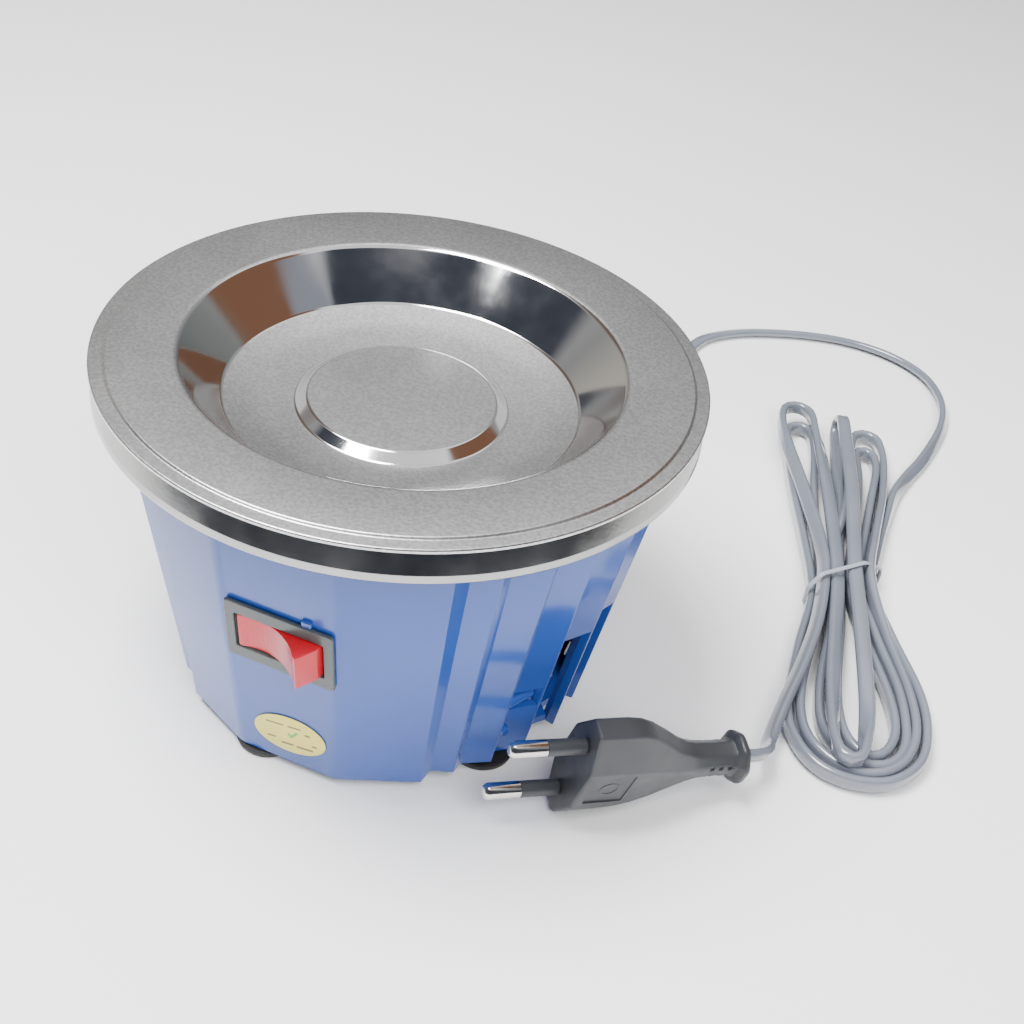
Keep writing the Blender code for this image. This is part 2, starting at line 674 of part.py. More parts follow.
def switch_seat():
    return facet_frame(0.0, SWITCH_Z) @ Matrix.Translation((SWITCH_SHIFT, 0.0, 0.0))


def rocker_profile():
    """The rocker seen along its pin: a hollowed face between two raised ends."""
    reach = hypot(ROCKER_HALF, ROCKER_TIP)
    across = [1.0 - i / 4 for i in range(9)]
    face = [(ROCKER_HALF * x, ROCKER_TIP - ROCKER_HOLLOW * (1.0 - x * x)) for x in across]
    left = [(-reach * cos(turn), reach * sin(turn)) for turn in (0.0, radians(-14.0), radians(-26.0))]
    bottom = [(-5.0, -5.2), (5.0, -5.2)]
    right = [(reach * cos(turn), reach * sin(turn)) for turn in (radians(-26.0), radians(-14.0), 0.0)]
    return face + left + bottom + right


def switch(black, red, zinc):
    """Rocker switch in the front facet: frame, rocker on its pin, and two blade terminals."""
    seat = switch_seat()
    bezel = box((BEZEL_WIDTH, BEZEL_HEIGHT, BEZEL_THICK), (0.0, 0.0, GAP + BEZEL_THICK / 2))
    frame = make("switch_frame", [bezel], black, seat)
    depth = 17.0
    fuse(frame, [box((CUTOUT_WIDTH, CUTOUT_HEIGHT, depth), (0.0, 0.0, 1.0 - depth / 2))], seat)
    opening = 2 * (hypot(ROCKER_HALF, ROCKER_TIP) + 0.4)
    cut(frame, [box((opening, ROCKER_HEIGHT + 0.8, 14.0), (0.0, 0.0, -4.0))], seat)
    upright = frame_along((0.0, 0.0, PIVOT_DEPTH), (0.0, 1.0, 0.0))
    cut(frame, [moved(disc(1.2, -6.9, 6.9, 12), upright)], seat)
    pivot = seat @ Matrix.Translation((0.0, 0.0, PIVOT_DEPTH))
    outline = rocker_profile()
    lying = Matrix.Rotation(radians(-ROCKER_TILT), 4, "Y")
    flat = [(x, 0.0, z) for x, z in outline]
    loops = [[(x, y, z) for x, _, z in flat] for y in (-ROCKER_HEIGHT / 2, ROCKER_HEIGHT / 2)]
    rocker = make("switch_rocker", [skin(loops)], red, pivot @ lying)
    hole = frame_along((0.0, 0.0, 0.0), (0.0, 1.0, 0.0))
    cut(rocker, [moved(disc(1.2, -9.0, 9.0, 12), hole)], pivot)
    make("switch_pin", [moved(disc(0.9, -6.6, 6.6, 12), hole)], zinc, pivot)
    for name, x in (("left", -6.0), ("right", 6.0)):
        blade = box((6.0, 0.8, 8.0), (x, 0.0, 1.0 - depth - 4.0 - GAP))
        make(f"switch_terminal_{name}", [blade], zinc, seat)


def label(paper):
    """Oval label stuck on the front facet below the switch, slightly askew."""
    askew = Matrix.Translation((1.1, 0.0, 0.15)) @ Matrix.Rotation(radians(8.0), 4, "Z")
    turns = [tau * i / 32 for i in range(32)]
    oval = [(LABEL_WIDTH / 2 * cos(turn), LABEL_HEIGHT / 2 * sin(turn)) for turn in turns]
    make("label_sticker", [prism(oval, 0.0, 0.2)], paper, facet_frame(0.0, LABEL_Z) @ askew)


# ---------------------------------------------------------------- mains lead

def cord_gland(rubber):
    """Strain relief bush in the rear wall, with its sleeve tapering along the lead."""
    profile = [(0.0, -WALL - 2.4), (5.6, -WALL - 2.4), (5.6, -WALL - 0.6), (4.2, -WALL - 0.6), (4.2, 0.4),
               (6.2, 0.4), (6.2, 2.2), (4.6, 3.2), (3.2, GLAND_REACH), (0.0, GLAND_REACH)]
    make("cord_gland", [turned(profile, 20)], rubber, gland_frame())


def cord_stretch(name, route, vinyl, spacing):
    """One free stretch of the lead, as a bevelled curve with closed ends."""
    curve = bpy.data.curves.new(name, "CURVE")
    curve.dimensions = "3D"
    curve.bevel_depth = CORD_RADIUS * MM
    curve.bevel_resolution = 2
    curve.use_fill_caps = True
    points = smooth_curve(route, spacing)
    line = curve.splines.new("POLY")
    line.points.add(len(points) - 1)
    for slot, point in zip(line.points, points):
        slot.co = (*(point * MM), 1.0)
    curve.materials.append(vinyl)
    made = bpy.data.objects.new(name, curve)
    bpy.context.collection.objects.link(made)


def plug_frame():
    """Placement at the plug's flange: Z towards the pins, X across them."""
    flange = Vector(PLUG_FLANGE)
    heading = (Vector(PLUG_FACE) - flange).normalized()
    away = heading.cross(Vector((0.0, 0.0, 1.0))).normalized()
    upright = away.cross(heading)
    across = upright * cos(radians(PLUG_ROLL)) - away * sin(radians(PLUG_ROLL))
    return frame_along(flange, heading, across)


def lead(vinyl):
    """The two free stretches of the lead: gland to hank, and hank to plug."""
    out_of_gland = [tuple(gland_frame() @ Vector((0.0, 0.0, GLAND_REACH + reach))) for reach in (GAP, 4.0)]
    cord_stretch("cord_lead", out_of_gland + LEAD_ROUTE, vinyl, 7.0)
    out_of_plug = [tuple(plug_frame() @ Vector((0.0, 0.0, -reach))) for reach in (GAP, 6.0)]
    cord_stretch("cord_tail", out_of_plug + TAIL_ROUTE, vinyl, 4.5)


def hank_frame(slant=0.0):
    """Placement at the tie: X along the hank, Y across it."""
    frame = Matrix.Rotation(atan2(HANK_HEADING[1], HANK_HEADING[0]) + radians(slant), 4, "Z")
    frame.translation = Vector((*HANK_CENTRE, 0.0))
    return frame


def hank_and_tie(vinyl, tie_plastic):
    """The wound part of the lead as one solid, and the tie round its waist."""
    right = [(along, half, 0.0) for along, half in HANK_SHAPE]
    left = [(along, -half, 0.0) for along, half in reversed(HANK_SHAPE[1:-1])]
    outline = [(point.x, point.y) for point in smooth_curve(right + left, 7.0, closed=True)[:-1]]
    make("cord_hank", [prism(outline, HANK_BOTTOM, HANK_TOP)], vinyl, hank_frame(), crease=50)
    band_thick = 0.8
    half_length = 16.4
    loops = []
    for width in (-1.2, 1.2):
        for grow in (0.0, band_thick):
            side = half_length + grow
            low = HANK_BOTTOM - GAP - grow
            high = HANK_TOP + GAP + grow
            corners = ((-side, low), (side, low), (side, high), (-side, high))
            loops.append([(width, across, height) for across, height in corners])
    inner_a, outer_a, inner_b, outer_b = loops
    band = skin([inner_a, outer_a, outer_b, inner_b], closed=True)
    make("cord_tie", [band], tie_plastic, hank_frame(TIE_SLANT))


def oval_loop(half_x, half_y, height, power, count=20):
    """A rounded rectangle (power above 2) or an ellipse (power 2) at a height."""
    loop = []
    for i in range(count):
        c = cos(tau * i / count)
        s = sin(tau * i / count)
        size = (abs(c) ** power + abs(s) ** power) ** (-1.0 / power)
        loop.append((half_x * c * size, half_y * s * size, height))
    return loop


def plug(black, zinc):
    """Two-pin plug: one moulded body with its strain relief, two pins and their sleeves."""
    seat = plug_frame()
    length = (Vector(PLUG_FACE) - Vector(PLUG_FLANGE)).length
    # Distance from the flange, half width, half thickness and squareness of each section
    stations = [(0.0, 5.6, 5.6, 2), (0.6, 6.2, 6.2, 2), (1.8, 6.2, 6.2, 2), (2.4, 4.4, 4.4, 2),
                (13.0, 4.4, 4.4, 2), (18.0, 6.6, 5.4, 2.6), (24.0, 11.2, 6.2, 3), (30.0, 15.5, 6.9, 3.4),
                (33.0, 16.6, 7.0, 3.6), (length - 1.4, 16.8, 7.0, 3.6), (length, 15.6, 6.0, 3.6)]
    loops = [oval_loop(x, y, z, power) for z, x, y, power in stations]
    make("plug_body", [skin(loops)], black, seat, crease=35)
    sleeve_end = length + 10.0
    for name, sign in (("lower", -1.0), ("upper", 1.0)):
        place = Matrix.Translation((sign * PIN_SPACING / 2, 0.0, 0.0))
        start = length + GAP
        tip = length + PIN_LENGTH
        pin = [(0.0, start), (1.2, start), (1.2, sleeve_end + GAP), (PIN_RADIUS, sleeve_end + GAP),
               (PIN_RADIUS, tip - 1.0), (1.0, tip), (0.0, tip)]
        make(f"plug_pin_{name}", [turned(pin, 16)], zinc, seat @ place)
        make(f"plug_sleeve_{name}", [ring(1.2 + GAP, 1.9, start, sleeve_end, 16)], black, seat @ place)


def wires(vinyl):
    """Leads inside the housing, from the gland to the switch and the motor."""
    gland = gland_frame()
    start_live, next_live, start_neutral, next_neutral = (
        tuple(gland @ Vector((side, 0.0, -WALL - 2.4 - reach)))
        for side in (2.2, -2.2) for reach in (GAP, 4.0))
    terminal = switch_seat() @ Vector((6.0, 0.0, -25.3))
    other = switch_seat() @ Vector((-6.0, 0.0, -25.3))
    live = [start_live, next_live, (31.0, 24.0, 13.4), (35.0, 8.0, 13.2), (30.0, -12.0, 15.0),
            (16.0, -24.0, 26.0), (7.4, -27.6, 38.0), tuple(terminal)]
    switched = [tuple(other), (-7.4, -27.6, 38.0), (-12.0, -22.0, 24.0), (-10.0, -8.0, 10.6),
                (-7.0, 6.0, 8.6), (-6.0, 18.0, 9.2), (-6.0, 24.0, 11.6)]
    neutral = [start_neutral, next_neutral, (20.0, 36.5, 9.0), (13.0, 32.0, 8.2), (7.5, 28.0, 8.6),
               (7.0, 25.0, 11.4)]
    for name, run in (("live", live), ("switched", switched), ("neutral", neutral)):
        make(f"wire_{name}", [sweep(smooth_curve(run, 5.0), 0.8, 6)], vinyl)


def build():
    clear_scene()
    steel = material("pressed_steel", (0.62, 0.62, 0.62), 0.28, 1.0)
    blue = material("blue_abs", (0.06, 0.12, 0.42), 0.25)
    rubber = material("black_rubber", (0.02, 0.02, 0.02), 0.75)
    black = material("black_plastic", (0.03, 0.03, 0.035), 0.4)
    red = material("red_plastic", (0.65, 0.03, 0.04), 0.3)
    zinc = material("zinc_plate", (0.6, 0.6, 0.62), 0.35, 1.0)
    casting = material("cast_aluminium", (0.5, 0.5, 0.52), 0.5, 1.0)
    iron = material("core_iron", (0.12, 0.12, 0.13), 0.6, 0.6)
    copper = material("copper_wire", (0.65, 0.3, 0.16), 0.4, 1.0)
    brass = material("brass", (0.7, 0.55, 0.25), 0.35, 1.0)
    nylon = material("pulley_nylon", (0.75, 0.74, 0.7), 0.5)
    vinyl = material("grey_vinyl", (0.28, 0.31, 0.36), 0.3)
    paper = material("yellow_label", (0.82, 0.75, 0.3), 0.45)
    tie_plastic = material("tie_plastic", (0.5, 0.52, 0.55), 0.45)

    wheel_dish(steel)
    wheel_skirt(steel)
    hub(casting, zinc)
    spindle(zinc)
    housing(blue)
    base_cover(blue)
    feet(rubber, zinc)
    bearing_housing(casting)
    bearings(zinc)
    pulleys(nylon, brass)
    drive_belt(rubber)
    motor_plate(zinc)
    motor(zinc, casting, iron, copper)
    switch(black, red, zinc)
    label(paper)
    cord_gland(rubber)
    lead(vinyl)
    hank_and_tie(vinyl, tie_plastic)
    plug(black, zinc)
    wires(vinyl)


build()
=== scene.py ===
"""Looks of the small electric pottery wheel: pressed steel wheel head, ribbed blue housing, rocker
switch, label, rubber feet, and the mains lead tied in a hank with its plug.

Lengths are in millimetres and are turned into metres when a mesh is made.
"""

from math import acos, atan2, cos, hypot, pi, radians, sin, tau

import bmesh
import bpy
from mathutils import Matrix, Vector

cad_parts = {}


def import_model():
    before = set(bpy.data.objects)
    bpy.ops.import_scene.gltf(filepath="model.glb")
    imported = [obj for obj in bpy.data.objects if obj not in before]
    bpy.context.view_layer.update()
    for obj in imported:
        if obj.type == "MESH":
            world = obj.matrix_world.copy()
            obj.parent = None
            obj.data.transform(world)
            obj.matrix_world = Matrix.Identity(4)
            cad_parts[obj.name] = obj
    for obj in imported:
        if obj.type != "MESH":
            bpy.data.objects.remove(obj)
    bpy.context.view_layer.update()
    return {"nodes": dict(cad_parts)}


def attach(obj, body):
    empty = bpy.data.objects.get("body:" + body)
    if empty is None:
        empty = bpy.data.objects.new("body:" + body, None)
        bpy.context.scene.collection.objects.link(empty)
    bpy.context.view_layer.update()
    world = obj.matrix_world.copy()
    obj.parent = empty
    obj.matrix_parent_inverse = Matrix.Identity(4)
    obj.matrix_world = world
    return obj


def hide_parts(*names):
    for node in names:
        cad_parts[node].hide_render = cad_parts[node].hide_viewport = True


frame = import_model()

MM = 0.001
GAP = 0.3

# Camera and floor
EYE = (116.4, -267.7, 271.1)
SIGHT = (-0.2430, 0.7562, -0.6076)
CAMERA_ROLL = 8.1
SENSOR_WIDTH = 36.0
LENS = 52.77
TABLE_RADIUS = 400.0
FLOOR_END = 6000.0
FLOOR_BOTTOM = -4.0

# Wheel head
HEAD_RADIUS = 70.0
RIM_TOP = 89.8
SHEET = 0.8
MOUTH_RADIUS = 50.75
FLOOR_RADIUS = 41.6
FLOOR_TOP = 78.2
FLOOR_LOW = 75.8
FLOOR_MIDDLE_RADIUS = 34.0
FLOOR_MIDDLE_TOP = 76.7
DISC_RADIUS = 22.1
DISC_FOOT = 24.7
DISC_TOP = 77.9
SKIRT_LOW = 79.9
STUD_CIRCLE = 14.0
STUD_ANGLES = (60.0, 180.0, 300.0)
HEAD_STEPS = 192

# Housing
BASE_Z = 2.4
RIB_BASE_Z = 3.8
BASE_RADIUS = 51.6
FLARE = 0.136
WALL = 2.2
WALL_TOP = 83.5
DECK_TOP = 72.2
DECK_BOTTOM = 70.0
DECK_HOLE = 15.0
FACET_HALF = 14.0
PANEL_HALF = 36.5
RIB_STEP = 2.4
STEP_ANGLE = 3.0
RIB_FLARE = 0.03
CRESTS = [
    (45.4, -0.4), (56.5, 0.0), (67.4, 0.4), (79.6, 1.0), (91.8, 1.0), (103.8, 1.0), (115.3, 0.4),
    (126.0, 0.2),
    (135.2, 0.0),
]
VENT_SIZE = (9.0, 16.0)
VENT_HEIGHT = 39.0
VENT_ANGLES = (74.6, 86.8)
LATCH_ANGLES = (62.6, 110.2)
LATCH_Z = 24.0
LATCH_SIZE = (8.0, 14.0, 6.4)
CATCH_ANGLE = 58.2
CATCH_Z = 15.0
SCREW_HOLE = 1.9
BEARING_SCREW_CIRCLE = 19.5
BEARING_SCREW_ANGLES = (45.0, 135.0, 225.0, 315.0)
POST_CIRCLE = 40.0
POST_ANGLES = (72.0, 108.0, -72.0, -108.0)
MOTOR_Y = 29.0
MOTOR_SCREW_HALF = 11.5
MOTOR_SCREW_Z = 42.8
FOOT_CIRCLE = 44.0
FOOT_START = -12.0
FOOT_RADIUS = 8.0
FOOT_COUNT = 5

# Switch and label
SWITCH_Z = 45.6
SWITCH_SHIFT = 0.5
BEZEL_WIDTH = 26.6
BEZEL_HEIGHT = 17.6
BEZEL_THICK = 0.9
SWITCH_BODY = (24.4, 15.4)
ROCKER_HALF = 9.1
ROCKER_TIP = 5.3
ROCKER_HOLLOW = 3.0
ROCKER_HEIGHT = 10.0
ROCKER_TILT = 18.2
PIVOT_DEPTH = -1.0
LABEL_Z = 13.3
LABEL_SHIFT = 1.1
LABEL_TURN = 8.0
LABEL_WIDTH = 18.8
LABEL_HEIGHT = 12.8

# Mains lead
CORD_WIDTH = 4.4
CORD_THICK = 2.6
CORD_STEP = 2.4
GLAND_ANGLE = 154.0
GLAND_Z = 14.0
GLAND_REACH = 26.0
PLUG_FLANGE = (97.2, -4.6, 11.4)
PLUG_FACE = (64.0, -33.4, 18.0)
PLUG_ROLL = 14.0
PIN_SPACING = 18.6
PIN_LENGTH = 19.0
HANK_CENTRE = (105.6, 82.8)
HANK_HEADING = (0.262, -0.965)
TIE_SLANT = 34.0


# ---------------------------------------------------------------- mesh helpers

def piece(name, points, faces, surfaces, pick=None, crease=35.0):
    """One mesh object; pick chooses the surface of each face from its centre in millimetres."""
    mesh = bpy.data.meshes.new(name)
    mesh.from_pydata([tuple(MM * value for value in point) for point in points], [], faces)
    shell = bmesh.new()
    shell.from_mesh(mesh)
    bmesh.ops.recalc_face_normals(shell, faces=shell.faces)
    shell.to_mesh(mesh)
    shell.free()
    for surface in surfaces:
        mesh.materials.append(surface)
    if pick:
        for face in mesh.polygons:
            face.material_index = pick(face.center / MM)
    mesh.shade_smooth()
    mesh.set_sharp_from_angle(angle=radians(crease))
    made = bpy.data.objects.new(name, mesh)
    bpy.context.scene.collection.objects.link(made)
    return made


def joined(solids):
    """Several solids as one list of points and faces."""
    points = []
    faces = []
    for solid_points, solid_faces in solids:
        start = len(points)
        points += solid_points
        faces += [[start + index for index in face] for face in solid_faces]
    return points, faces


def skin(loops, closed=False):
    """Faces between loops of equal length, with end caps or closed on itself."""
    count = len(loops[0])
    points = [tuple(point) for loop in loops for point in loop]
    spans = len(loops) if closed else len(loops) - 1
    faces = []
    for row in range(spans):
        lower = row * count
        upper = (row + 1) % len(loops) * count
        for side in range(count):
            after = (side + 1) % count
            faces.append([lower + side, lower + after, upper + after, upper + side])
    if not closed:
        faces.append(list(range(count)))
        faces.append(list(range(spans * count, (spans + 1) * count)))
    return points, faces


def turned(profile, steps):
    """Turn a closed profile of (radius, height) about the Z axis."""
    points = []
    rows = []
    for radius, height in profile:
        if radius < 1e-6:
            rows.append([len(points)] * steps)
            points.append((0.0, 0.0, height))
            continue
        rows.append(list(range(len(points), len(points) + steps)))
        turns = [tau * i / steps for i in range(steps)]
        points += [(radius * cos(turn), radius * sin(turn), height) for turn in turns]
    faces = []
    for row, after in zip(rows, rows[1:] + rows[:1]):
        for i in range(steps):
            j = (i + 1) % steps
            face = []
            for index in (row[i], row[j], after[j], after[i]):
                if index not in face:
                    face.append(index)
            if len(face) > 2:
                faces.append(face)
    return points, faces


def rounded(corners, steps=4, closed=True):
    """Round the corners of a polygon; each corner ends with its own radius."""
    points = []
    count = len(corners)
    for i, corner in enumerate(corners):
        here = Vector(corner[:-1])
        if not closed and i in (0, count - 1):
            points.append(tuple(here))
            continue
        back = Vector(corners[i - 1][:-1]) - here
        ahead = Vector(corners[(i + 1) % count][:-1]) - here
        half = acos(max(-1.0, min(1.0, back.normalized().dot(ahead.normalized())))) / 2
        wanted = corner[-1] / max(0.02, abs(sin(half) / max(1e-6, cos(half))))
        reach = min(wanted, 0.48 * back.length, 0.48 * ahead.length)
        start = here + back.normalized() * reach
        end = here + ahead.normalized() * reach
        for step in range(steps + 1):
            t = step / steps
            points.append(tuple(start * (1 - t) ** 2 + here * 2 * t * (1 - t) + end * t ** 2))
    return points


def prism(outline, low, high):
    return skin([[(x, y, low) for x, y in outline], [(x, y, high) for x, y in outline]])


def pillow(outline, low, high, edge, steps=3):
    """A prism whose top edge is rounded over."""
    centre = sum((Vector(point) for point in outline), Vector((0.0, 0.0))) / len(outline)
    loops = [[(x, y, low) for x, y in outline]]
    for step in range(steps + 1):
        turn = pi / 2 * step / steps
        inset = edge * (1 - cos(turn))
        loop = []
        for point in outline:
            offset = Vector(point) - centre
            moved_in = centre + offset * (1 - inset / max(offset.length, 1e-6))
            loop.append((*moved_in, high - edge + edge * sin(turn)))
        loops.append(loop)
    return skin(loops)


def box(size, centre=(0.0, 0.0, 0.0)):
    x, y, z = (value / 2 for value in size)
    return moved(prism([(-x, -y), (x, -y), (x, y), (-x, y)], -z, z), Matrix.Translation(centre))


def disc(radius, low, high, steps=24):
    return turned([(0.0, low), (radius, low), (radius, high), (0.0, high)], steps)


def moved(solid, place):
    points, faces = solid
    return [tuple(place @ Vector(point)) for point in points], faces


def frame_along(start, heading, sideways=(0.0, 0.0, 1.0)):
    """Placement at start with Z along heading and X as near sideways as it can be."""
    along = Vector(heading).normalized()
    across = Vector(sideways)
    across = (across - along * across.dot(along)).normalized()
    place = Matrix((across, along.cross(across), along)).transposed().to_4x4()
    place.translation = Vector(start)
    return place


def carve(made, cutters):
    """Cut closed solids out of a piece for good."""
    tools = []
    for number, solid in enumerate(cutters):
        tool = piece(f"{made.name}_tool_{number}", *solid, [])
        step = made.modifiers.new("cut", "BOOLEAN")
        step.operation = "DIFFERENCE"
        step.object = tool
        tools.append(tool)
    bpy.context.view_layer.update()
    done = made.evaluated_get(bpy.context.evaluated_depsgraph_get())
    mesh = bpy.data.meshes.new_from_object(done)
    made.modifiers.clear()
    made.data = mesh
    for tool in tools:
        bpy.data.objects.remove(tool, do_unlink=True)


def soften(made, width):
    """Bevel the sharp edges of a piece."""
    bevel = made.modifiers.new("soft edges", "BEVEL")
    bevel.width = width * MM
    bevel.segments = 2
    bevel.limit_method = "ANGLE"
    bevel.angle_limit = radians(40.0)
    bevel.use_clamp_overlap = True
    weighted = made.modifiers.new("even shading", "WEIGHTED_NORMAL")
    weighted.keep_sharp = False


def polar(angle, radius, height=0.0):
    """A point at an angle from the front, growing to the right."""
    return (radius * sin(radians(angle)), -radius * cos(radians(angle)), height)


def both_sides(angles):
    return [sign * angle for angle in angles for sign in (1.0, -1.0)]


def curve_through(route, spacing):
    """Catmull-Rom points (with any number of values each) about spacing apart."""
    knots = [Vector(point) for point in route]
    knots = [2 * knots[0] - knots[1]] + knots + [2 * knots[-1] - knots[-2]]
    fine = []
    for before, start, end, after in zip(knots, knots[1:], knots[2:], knots[3:]):
        for step in range(32):
            t = step / 32
            square = 2 * before - 5 * start + 4 * end - after
            cube = 3 * start - before - 3 * end + after
            fine.append(0.5 * (2 * start + (end - before) * t + square * t ** 2 + cube * t ** 3))
    fine.append(knots[-2])
    total = sum((b - a).to_3d().length for a, b in zip(fine, fine[1:]))
    count = round(total / spacing)
    picked = [fine[0]]
    walked = 0.0
    for a, b in zip(fine, fine[1:]):
        walked += (b - a).to_3d().length
        if walked >= total * len(picked) / count - 1e-6:
            picked.append(b)
    return picked


# ---------------------------------------------------------------- material helpers

class Surface:
    """A Principled material under construction."""

    def __init__(self, name, colour, roughness, metallic=0.0, **settings):
        self.material = bpy.data.materials.new(name)
        self.material.use_nodes = True
        self.tree = self.material.node_tree
        self.shader = self.tree.nodes["Principled BSDF"]
        self.colour = colour
        self.set("Base Color", (*colour, 1.0))
        self.set("Roughness", roughness)
        self.set("Metallic", metallic)
        for key, value in settings.items():
            self.set(key.replace("_", " "), value)
        self.where = self.node("ShaderNodeTexCoord").outputs["Object"]

    def set(self, socket, value):
        self.shader.inputs[socket].default_value = value

    def node(self, kind, **values):
        made = self.tree.nodes.new(kind)
        for key, value in values.items():
            if key in made.inputs:
                made.inputs[key].default_value = value
            else:
                setattr(made, key, value)
        return made

    def link(self, start, end):
        self.tree.links.new(start, end)

    def noise(self, size_mm, detail=2.0, stretch=None):
        """Noise whose features are about size_mm across."""
        made = self.node("ShaderNodeTexNoise", Scale=1.0 / (size_mm * MM), Detail=detail)
        where = self.where
        if stretch:
            mapping = self.node("ShaderNodeMapping", Scale=stretch)
            self.link(where, mapping.inputs["Vector"])
            where = mapping.outputs["Vector"]
        self.link(where, made.inputs["Vector"])
        return made.outputs["Fac"]

    def spread(self, value, low, high, start=0.3, end=0.7):
        made = self.node("ShaderNodeMapRange")
        for key, number in (("From Min", start), ("From Max", end), ("To Min", low), ("To Max", high)):
            made.inputs[key].default_value = number
        self.link(value, made.inputs["Value"])
        return made.outputs["Result"]

    def vary_roughness(self, value, low, high):
        self.link(self.spread(value, low, high), self.shader.inputs["Roughness"])

    def vary_colour(self, value, other, start=0.3, end=0.7):
        """Mix the base colour with another one; sockets 6, 7 and 2 are the colour ones."""
        made = self.node("ShaderNodeMix", data_type="RGBA")
        made.inputs[6].default_value = (*self.colour, 1.0)
        made.inputs[7].default_value = (*other, 1.0)
        self.link(self.spread(value, 0.0, 1.0, start, end), made.inputs["Factor"])
        self.link(made.outputs[2], self.shader.inputs["Base Color"])

    def bump(self, value, depth_mm, strength=1.0):
        made = self.node("ShaderNodeBump", Strength=strength, Distance=depth_mm * MM)
        self.link(value, made.inputs["Height"])
        self.link(made.outputs["Normal"], self.shader.inputs["Normal"])


def satin_steel():
    made = Surface("satin_steel", (0.66, 0.655, 0.65), 0.3, 1.0)
    grain = made.noise(0.8, 4.0)
    made.vary_roughness(made.noise(25.0, 2.0), 0.28, 0.32)
    made.vary_colour(grain, (0.50, 0.50, 0.50), 0.38, 0.62)
    made.bump(grain, 0.05, 0.6)
    return made.material


def bright_steel():
    made = Surface("bright_steel", (0.72, 0.72, 0.72), 0.08, 1.0)
    made.vary_roughness(made.noise(9.0, 3.0), 0.06, 0.12)
    made.bump(made.noise(7.0, 2.0), 0.02, 0.25)
    return made.material


def skirt_steel_painted_dark():
    # The same polished steel as the wheel head, with its colour painted darker as a painted dark reflection
    # of the room round the skirt.
    made = Surface("skirt_steel_painted_dark", (0.40, 0.405, 0.40), 0.15, 1.0)
    made.vary_roughness(made.noise(9.0, 3.0), 0.13, 0.2)
    made.vary_colour(made.noise(16.0, 2.0), (0.34, 0.34, 0.33))
    made.bump(made.noise(0.8, 3.0), 0.02, 0.3)
    return made.material


def gloss_plastic(name, colour, other, roughness, wave=0.05, **settings):
    made = Surface(name, colour, roughness, **settings)
    made.vary_colour(made.noise(30.0, 2.0), other)
    made.vary_roughness(made.noise(6.0, 4.0), roughness * 0.85, roughness * 1.25)
    made.bump(made.noise(11.0, 2.0), wave, 0.3)
    return made.material


def grained_plastic(name, colour, other, roughness, grain_mm=0.35, depth=0.03, **settings):
    made = Surface(name, colour, roughness, **settings)
    grain = made.noise(grain_mm, 3.0)
    made.vary_colour(made.noise(12.0, 3.0), other)
    made.vary_roughness(made.noise(5.0, 3.0), roughness * 0.85, roughness * 1.15)
    made.bump(grain, depth, 0.6)
    return made.material


def plain_metal(name, colour, roughness, grain_mm=0.5, stretch=None):
    made = Surface(name, colour, roughness, 1.0)
    grain = made.noise(grain_mm, 3.0, stretch)
    made.vary_colour(made.noise(8.0, 2.0), tuple(0.86 * value for value in colour))
    made.vary_roughness(grain, roughness * 0.8, roughness * 1.2)
    made.bump(grain, 0.02, 0.4)
    return made.material


# ---------------------------------------------------------------- camera, floor and light

def camera():
    forward = Vector(SIGHT).normalized()
    level = forward.cross(Vector((0.0, 0.0, 1.0))).normalized()
    roll = radians(CAMERA_ROLL)
    right = level * cos(roll) + level.cross(forward) * sin(roll)
    made = bpy.data.objects.new("camera", bpy.data.cameras.new("camera"))
    made.data.sensor_width = SENSOR_WIDTH
    made.data.lens = LENS
    made.data.clip_start = 0.01
    place = Matrix((right, right.cross(forward), -forward)).transposed().to_4x4()
    place.translation = Vector(EYE) * MM
    made.matrix_world = place
    bpy.context.scene.collection.objects.link(made)
    bpy.context.scene.camera = made


def floor():
    """A pale table round the object, and the same surface further out, left out of reflections."""
    made = Surface("pale_floor", (0.93, 0.93, 0.93), 0.55)
    made.vary_colour(made.noise(180.0, 2.0), (0.91, 0.91, 0.915))
    steps = 96
    near = piece("table", *disc(TABLE_RADIUS, FLOOR_BOTTOM, 0.0, steps), [made.material])
    ring = [(TABLE_RADIUS, FLOOR_BOTTOM), (FLOOR_END, FLOOR_BOTTOM), (FLOOR_END, 0.0), (TABLE_RADIUS, 0.0)]
    far = piece("floor", *turned(ring, steps), [made.material])
    far.visible_glossy = False


def area_light(name, place, aim, size, power, colour=(1.0, 1.0, 1.0)):
    data = bpy.data.lights.new(name, "AREA")
    data.shape = "RECTANGLE"
    data.size = size[0] * MM
    data.size_y = size[1] * MM
    data.energy = power
    data.color = colour
    made = bpy.data.objects.new(name, data)
    made.matrix_world = frame_along(Vector(place) * MM, Vector(place) - Vector(aim))
    bpy.context.scene.collection.objects.link(made)
    return made


